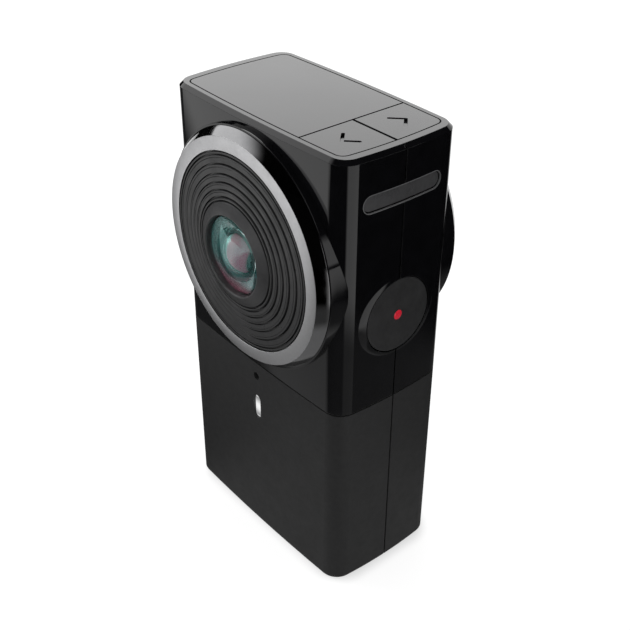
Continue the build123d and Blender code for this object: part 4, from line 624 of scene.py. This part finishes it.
# Painted highlight round the light bar: a thin grey edge laid over the gloss black shell. Each loop
# has its distance outside the bar's cut and its height.

BAR_CUT_LENGTH, BAR_CUT_WIDTH = 19.9, 3.8
SIDE_ARC = 119.5
BAR_EDGE_STEP = 1.0
BAR_EDGE_LOOPS = [(0.06, -0.1), (0.06, 0.0), (0.03, 0.03), (-0.1, 0.03), (-0.12, 0.0), (-0.12, -0.3)]


def light_bar_highlight_edge():
    """The thin edge around the light bar, laid on the curved side, grey as a painted highlight."""
    place = seat((HALF_WIDTH, 0, LIGHT_BAR_HEIGHT), (0, 1, 0), (1, 0, 0))
    outline = divided(pill(BAR_CUT_LENGTH, BAR_CUT_WIDTH), BAR_EDGE_STEP)
    straight = (BAR_CUT_LENGTH - BAR_CUT_WIDTH) / 2
    loops = []
    for spare, height in BAR_EDGE_LOOPS:
        loop = []
        for x, y in outline:
            outwards = Vector((x - max(-straight, min(straight, x)), y)).normalized()
            x, y = Vector((x, y)) + outwards * spare
            loop.append((x, y, height - x * x / (2 * SIDE_ARC)))
        loops.append(loop)
    return lofted(loops + loops[:1], place, cap=False)


piece("light_bar_highlight_edge", light_bar_highlight_edge(), "gloss_black", "camera", (), "painted_highlight_grey")


# Tripod bush. Its outside is pairs of radius about the thread's axis and height.

BUSH_BORE, BUSH_ROOT, BUSH_PITCH, BUSH_DEPTH = 2.55, 3.1, 1.27, 7.0
BUSH_OUTSIDE = [(0, 8.5), (6.1, 8.5), (6.2, 8.4), (6.2, 7.7), (6.1, 7.6), (4.7, 7.6), (4.7, 0.25),
                (4.5, 0.03), (3.4, 0.03), (BUSH_ROOT + 0.05, 0.35)]
THREAD_START, THREAD_ROWS, THREAD_FLANK = 0.4, 70, 0.42


def threaded_bush():
    """The tripod bush with a helical thread cut into its bore."""
    lines = [[point] * (ROUND_STEPS if point[0] else 1) for point in BUSH_OUTSIDE]
    for row in range(THREAD_ROWS + 1):
        height = THREAD_START + (BUSH_DEPTH - THREAD_START) * row / THREAD_ROWS
        line = []
        for k in range(ROUND_STEPS):
            turn = (height / BUSH_PITCH - k / ROUND_STEPS) % 1
            cut = max(0.0, 1 - abs(turn - 0.5) / THREAD_FLANK)
            line.append((BUSH_BORE + (BUSH_ROOT - BUSH_BORE) * cut, height))
        lines.append(line)
    lines.append([(0, BUSH_DEPTH)])
    made = bmesh.new()
    bridge(made, [ring_of(made, line, Matrix()) for line in lines])
    return made


piece("threaded_bush", threaded_bush(), "bush_brass", "camera", ["tripod_bush"])


# Contacts of the USB socket, on both faces of its tongue

USB_PADS, USB_PAD_PITCH, USB_PAD_WIDTH, USB_PAD_EDGE = 12, 0.5, 0.28, 0.02
USB_PAD_START, USB_PAD_END = 2.2, 5.6
USB_PAD_INSIDE, USB_PAD_OUTSIDE = 0.33, 0.39


def usb_contacts():
    """Two rows of flat gold pads."""
    middle = middle_of("usb_socket")
    mouth = box_of("usb_socket")[0].x
    pads = []
    for side in (-1, 1):
        near, far = sorted((middle.y + side * USB_PAD_INSIDE, middle.y + side * USB_PAD_OUTSIDE))
        for index in range(USB_PADS):
            z = middle.z + (index - (USB_PADS - 1) / 2) * USB_PAD_PITCH
            pads.append(((mouth + USB_PAD_START, near, z - USB_PAD_WIDTH / 2),
                         (mouth + USB_PAD_END, far, z + USB_PAD_WIDTH / 2)))
    return blocks(pads, USB_PAD_EDGE)


piece("usb_contacts", usb_contacts(), "contact_gold", "camera")


# Components on the rear of the main board, sunk a little into it

BOARD_REAR = box_of("main_board")[1].y
SOLDER_DEPTH = 0.05
# Left, right, bottom, top and thickness of each chip
CHIPS = [(2.0, 8.0, 18.0, 24.0, 0.9), (10.2, 14.4, 14.0, 20.0, 0.8),
         (9.6, 13.6, 23.5, 26.5, 0.75), (1.6, 5.2, 10.6, 14.2, 0.8)]
CHIP_EDGE = 0.08
CAPACITOR_LENGTH, CAPACITOR_WIDTH, CAPACITOR_THICKNESS, CAPACITOR_EDGE = 1.0, 0.5, 0.5, 0.05
# Left end and bottom of each capacitor
CAPACITORS = [(2.2, 25.2), (4.0, 25.2), (5.8, 25.2), (8.7, 20.6), (8.7, 21.6), (8.7, 22.6),
              (6.2, 15.4), (6.2, 16.4), (2.2, 15.6), (3.8, 15.6), (7.4, 11.0), (7.4, 12.0),
              (11.4, 21.4), (13.0, 21.4)]


def on_board(left, right, bottom, top, thickness):
    """The two corners of a component's block."""
    return ((left, BOARD_REAR - SOLDER_DEPTH, bottom), (right, BOARD_REAR + thickness, top))


def board_capacitors():
    """Small capacitors around the chips."""
    return blocks([on_board(x, x + CAPACITOR_LENGTH, z, z + CAPACITOR_WIDTH, CAPACITOR_THICKNESS)
                   for x, z in CAPACITORS], CAPACITOR_EDGE)


piece("board_chips", blocks([on_board(*chip) for chip in CHIPS], CHIP_EDGE), "chip_dark", "camera")
piece("board_capacitors", board_capacitors(), "contact_gold", "camera")


# Pull tab on the side of the battery that faces the door

TAB_WIDTH, TAB_HEIGHT, TAB_EDGE = 5.0, 18.0, 0.03
TAB_OUT, TAB_SUNK = 0.1, 0.05


def battery_pull_tab():
    """A strip of film."""
    side = box_of("battery")[0].x
    middle = middle_of("battery")
    low = (side - TAB_OUT, middle.y - TAB_WIDTH / 2, middle.z - TAB_HEIGHT / 2)
    high = (side + TAB_SUNK, middle.y + TAB_WIDTH / 2, middle.z + TAB_HEIGHT / 2)
    return blocks([(low, high)], TAB_EDGE)


piece("battery_pull_tab", battery_pull_tab(), "flex_film", "camera")


# The photograph's camera

CAMERA_PLACE = Vector((149.737, -124.015, 181.624)) * MM
CAMERA_RIGHT = Vector((0.64035, 0.76807, 0.00389))
CAMERA_DOWN = Vector((0.42520, -0.35026, -0.83458))
CAMERA_LENS, SENSOR_WIDTH = 59.531, 36.0
CLIP_START = 5


def photo_camera():
    """The camera that sees the object as the photograph shows it."""
    data = bpy.data.cameras.new("camera_view")
    data.lens = CAMERA_LENS
    data.sensor_width = SENSOR_WIDTH
    data.clip_start = CLIP_START * MM
    camera = bpy.data.objects.new("camera_view", data)
    bpy.context.scene.collection.objects.link(camera)
    forward = CAMERA_RIGHT.cross(CAMERA_DOWN)
    axes = Matrix((CAMERA_RIGHT, -CAMERA_DOWN, -forward)).transposed()
    camera.matrix_world = Matrix.Translation(CAMERA_PLACE) @ axes.to_4x4()
    return camera


bpy.context.scene.camera = photo_camera()


# World: white where it is seen, weaker in the light that it gives

WORLD_LIGHT, WORLD_SEEN = 0.5, 1.0


def white_world():
    """White surroundings."""
    world = bpy.data.worlds.new("studio")
    graph = Graph(world)
    strength = graph.spread(graph.seen(), 0, 1, WORLD_LIGHT, WORLD_SEEN)
    graph.fill(graph.nodes["Background"], {"Color": opaque(grey(1)), "Strength": strength})
    return world


bpy.context.scene.world = white_world()


# Floor

FLOOR_REACH, FLOOR_LEVEL = 4000, -0.05
FLOOR_TONES, FLOOR_TONE_SCALE = (0.42, 0.44), 40
FLOOR_ROUGHNESS, FLOOR_ROUGHNESS_SCALE = (0.85, 0.95), 60
FLOOR_LIFT = 0.83
# A painted shadow in the floor's glow, in a narrow band round the object's foot, shifted towards +X
SHADOW_SHIFT = Vector((1.0, 0, 0))
SHADOW_ROUNDING = 7.0
SHADOW_HALF = Vector((HALF_WIDTH - SHADOW_ROUNDING, HALF_DEPTH - SHADOW_ROUNDING, 10))
SHADOW_NEAR, SHADOW_FAR, SHADOW_DEPTH = 5.0, 9.2, 0.32


def level_sheet(x_span, y_span, height):
    """The corners of a level rectangle."""
    (left, right), (front, back) = x_span, y_span
    return [(left, front, height), (right, front, height), (right, back, height), (left, back, height)]


def flat(name, corners, material):
    """A flat four-cornered sheet of the studio."""
    made = bmesh.new()
    made.faces.new([made.verts.new(Vector(c) * MM) for c in corners])
    mesh = bpy.data.meshes.new(name)
    made.to_mesh(mesh)
    made.free()
    mesh.materials.append(material)
    obj = bpy.data.objects.new(name, mesh)
    bpy.context.scene.collection.objects.link(obj)
    return obj


def floor_material():
    """A pale floor that shows white, with a painted shadow: darker only in a narrow band round the
    object's foot.
    """
    material = bpy.data.materials.new("pale_floor")
    graph = Graph(material)
    place = graph.place()
    low, high = [opaque(grey(tone)) for tone in FLOOR_TONES]
    aside = graph.vector("ABSOLUTE", graph.vector("SUBTRACT", place, SHADOW_SHIFT * MM))
    beyond = graph.vector("MAXIMUM", graph.vector("SUBTRACT", aside, SHADOW_HALF * MM), (0, 0, 0))
    lift = graph.spread(graph.vector("LENGTH", beyond), SHADOW_NEAR * MM, SHADOW_FAR * MM,
                        FLOOR_LIFT * (1 - SHADOW_DEPTH), FLOOR_LIFT, smooth=True)
    graph.fill(graph.nodes["Principled BSDF"], {
        "Base Color": graph.mix(graph.noise(place, 0, 1, FLOOR_TONE_SCALE, TONE_DETAIL), low, high),
        "Roughness": graph.noise(place, *FLOOR_ROUGHNESS, FLOOR_ROUGHNESS_SCALE, TONE_DETAIL),
        "Specular IOR Level": 0.0,
        "Emission Color": opaque(grey(1)),
        "Emission Strength": graph.number("MULTIPLY", graph.seen(), lift),
    })
    return material


FLOOR_SPAN = (-FLOOR_REACH, FLOOR_REACH)
flat("floor", level_sheet(FLOOR_SPAN, FLOOR_SPAN, FLOOR_LEVEL), floor_material())


# What reflections show of the floor: light and dark wedges about the object's right front corner, with
# painted shade close to the object

SURROUND_SPAN, SURROUND_LEVEL = (-1000, 1000), 0.5
SURROUND_CORNER = Vector((27.0, -15.0, 0))
# Tones by direction in degrees, far from the corner, near it and at its foot; the near tones and the
# foot tone are mostly darker, as painted shade
FAR_TONES = [(-180, 0.05), (-154, 0.05), (-150, 0.3), (-128, 0.2), (-120, 0.0), (-32, 0.0),
             (-22, 1.0), (27, 1.0), (31, 0.0), (95, 0.0), (110, 1.0), (165, 1.0), (175, 0.05),
             (180, 0.05)]
NEAR_TONES = [(-180, 0.05), (-154, 0.05), (-150, 0.35), (-128, 0.3), (-115, 0.05), (-60, 0.08),
              (-32, 0.08), (-22, 0.22), (27, 0.22), (31, 0.08), (95, 0.08), (180, 0.08)]
FOOT_TONE = 0.3
# Distances from the corner over which one set of tones gives way to the next
FOOT_TO_NEAR, NEAR_TO_FAR = (38, 62), (88, 122)
# A white patch on the left, in front of a slanted line
PATCH_START, PATCH_END = -66, -104
PATCH_SLOPE, PATCH_OFFSET, PATCH_FADE = -0.4, 29, -10


def surround_material():
    """The wedges and the white patch. The gradient runs from 0 to 1 for -180 to 180 degrees."""
    material = bpy.data.materials.new("floor_surround")
    graph = Graph(material)
    place = graph.place()
    from_corner = graph.vector("SUBTRACT", place, SURROUND_CORNER * MM)
    turn = graph.add("TexGradient", {"Vector": from_corner}, "Fac", gradient_type="RADIAL")
    far, near = [graph.ramp(turn, [(angle / 360 + 0.5, grey(tone)) for angle, tone in tones])
                 for tones in (FAR_TONES, NEAR_TONES)]
    reach = graph.vector("LENGTH", from_corner)
    tone = opaque(grey(FOOT_TONE))
    for (start, end), beyond in ((FOOT_TO_NEAR, near), (NEAR_TO_FAR, far)):
        tone = graph.mix(graph.spread(reach, start * MM, end * MM, smooth=True), tone, beyond)
    apart = graph.split(place)
    left = graph.spread(apart["X"], PATCH_START * MM, PATCH_END * MM)
    slanted = graph.number("MULTIPLY_ADD", apart["X"], PATCH_SLOPE, PATCH_OFFSET * MM)
    ahead = graph.spread(graph.number("ADD", slanted, apart["Y"]), 0, PATCH_FADE * MM)
    lit = graph.mix(graph.number("MULTIPLY", left, ahead), tone, opaque(grey(1)))
    graph.glow_only({"Color": lit})
    return material


def reflected_only(obj):
    """Keeps a card out of everything but reflections."""
    obj.visible_camera = False
    obj.visible_diffuse = False
    obj.visible_transmission = False
    obj.visible_shadow = False
    return obj


reflected_only(flat("floor_surround", level_sheet(SURROUND_SPAN, SURROUND_SPAN, SURROUND_LEVEL),
                    surround_material()))


# Dark walls and roof, open at the rear left, where the white world shows

WALL_RADIUS, WALL_TOP, WALL_STEP = 900, 1000, 20
DARK_TONE, DARK_ROUGHNESS, DARK_ROUGHNESS_SCALE = 0.006, (0.8, 0.95), 20
ROOF_EDGE, LEFT_ROOF_BACK = -450, 250


def dark_material():
    """The unlit side of the studio."""
    material = bpy.data.materials.new("dark_wall")
    graph = Graph(material)
    roughness = graph.noise(graph.place(), *DARK_ROUGHNESS, DARK_ROUGHNESS_SCALE, GRAIN_DETAIL)
    graph.fill(graph.nodes["Principled BSDF"], {"Base Color": opaque(grey(DARK_TONE)),
                                                "Specular IOR Level": 0.0,
                                                "Roughness": roughness})
    return material


DARK = dark_material()


def on_wall(angle):
    """A place on the wall around the studio, seen from above."""
    turn = math.radians(angle)
    return (WALL_RADIUS * math.cos(turn), WALL_RADIUS * math.sin(turn))


def dark_wall(name, start, end, low, high):
    """Upright dark cards between two directions."""
    steps = max(1, round((end - start) / WALL_STEP))
    for index in range(steps):
        first = on_wall(start + (end - start) * index / steps)
        second = on_wall(start + (end - start) * (index + 1) / steps)
        corners = [(*first, low), (*second, low), (*second, high), (*first, high)]
        reflected_only(flat(f"{name}_{index}", corners, DARK))


dark_wall("dark_right", start=-200, end=80, low=0, high=WALL_TOP)
reflected_only(flat("dark_roof", level_sheet((ROOF_EDGE, WALL_RADIUS), (-WALL_RADIUS, WALL_RADIUS),
                                             WALL_TOP), DARK))
reflected_only(flat("dark_roof_left", level_sheet((-WALL_RADIUS, ROOF_EDGE),
                                                  (-WALL_RADIUS, LEFT_ROOF_BACK), WALL_TOP), DARK))


# Soft cards that glow in reflections, placed by direction and distance from between the lenses


def soft_card(name, azimuth, elevation, distance, edges, strength):
    """A card whose edges, two for each axis, are pairs of dark end and bright end."""
    material = bpy.data.materials.new(name)
    graph = Graph(material)
    apart = graph.split(graph.place())
    level = strength
    for axis, pairs in edges.items():
        for dark_end, bright_end in pairs:
            fade = graph.spread(apart[axis], dark_end * MM, bright_end * MM, smooth=True)
            level = graph.number("MULTIPLY", fade, level)
    graph.glow_only({"Strength": level})
    spans = [sorted(pair[0] for pair in edges[axis]) for axis in "XY"]
    card = reflected_only(flat(name, level_sheet(*spans, 0), material))
    turn, rise = math.radians(azimuth), math.radians(elevation)
    away = Vector((math.cos(rise) * math.cos(turn), math.cos(rise) * math.sin(turn), math.sin(rise)))
    card.rotation_euler = (-away).to_track_quat("Z", "Y").to_euler()
    card.location = (Vector((0, 0, LENS_HEIGHT)) + away * distance) * MM
    return card


soft_card("front_left_card", azimuth=-155, elevation=30, distance=600, strength=1.6,
          edges={"X": [(-330, -150), (330, 280)], "Y": [(-156, -140), (370, 60)]})
soft_card("front_card", azimuth=-88, elevation=6, distance=640, strength=0.75,
          edges={"X": [(-300, -200), (300, 160)], "Y": [(-230, -120), (230, 120)]})
soft_card("right_card", azimuth=18, elevation=9, distance=600, strength=1.0,
          edges={"X": [(-330, -250), (330, 250)], "Y": [(-130, -100), (150, 60)]})


# Soft boxes that light the object

LIGHT_AIM = Vector((0, 0, 60))


def soft_light(name, place, size, power):
    """A soft box that faces the object."""
    data = bpy.data.lights.new(name, "AREA")
    data.shape = "RECTANGLE"
    data.size, data.size_y = [length * MM for length in size]
    data.energy = power
    obj = bpy.data.objects.new(name, data)
    bpy.context.scene.collection.objects.link(obj)
    obj.location = Vector(place) * MM
    aim = LIGHT_AIM * MM - obj.location
    obj.rotation_euler = aim.to_track_quat("-Z", "Y").to_euler()
    return obj


soft_light("back_left_box", place=(-640, 540, 650), size=(600, 600), power=1.3)
key = soft_light("front_left_box", place=(-640, -300, 420), size=(420, 260), power=1.4)
key.visible_glossy = False

bpy.context.scene.view_settings.view_transform = "Standard"
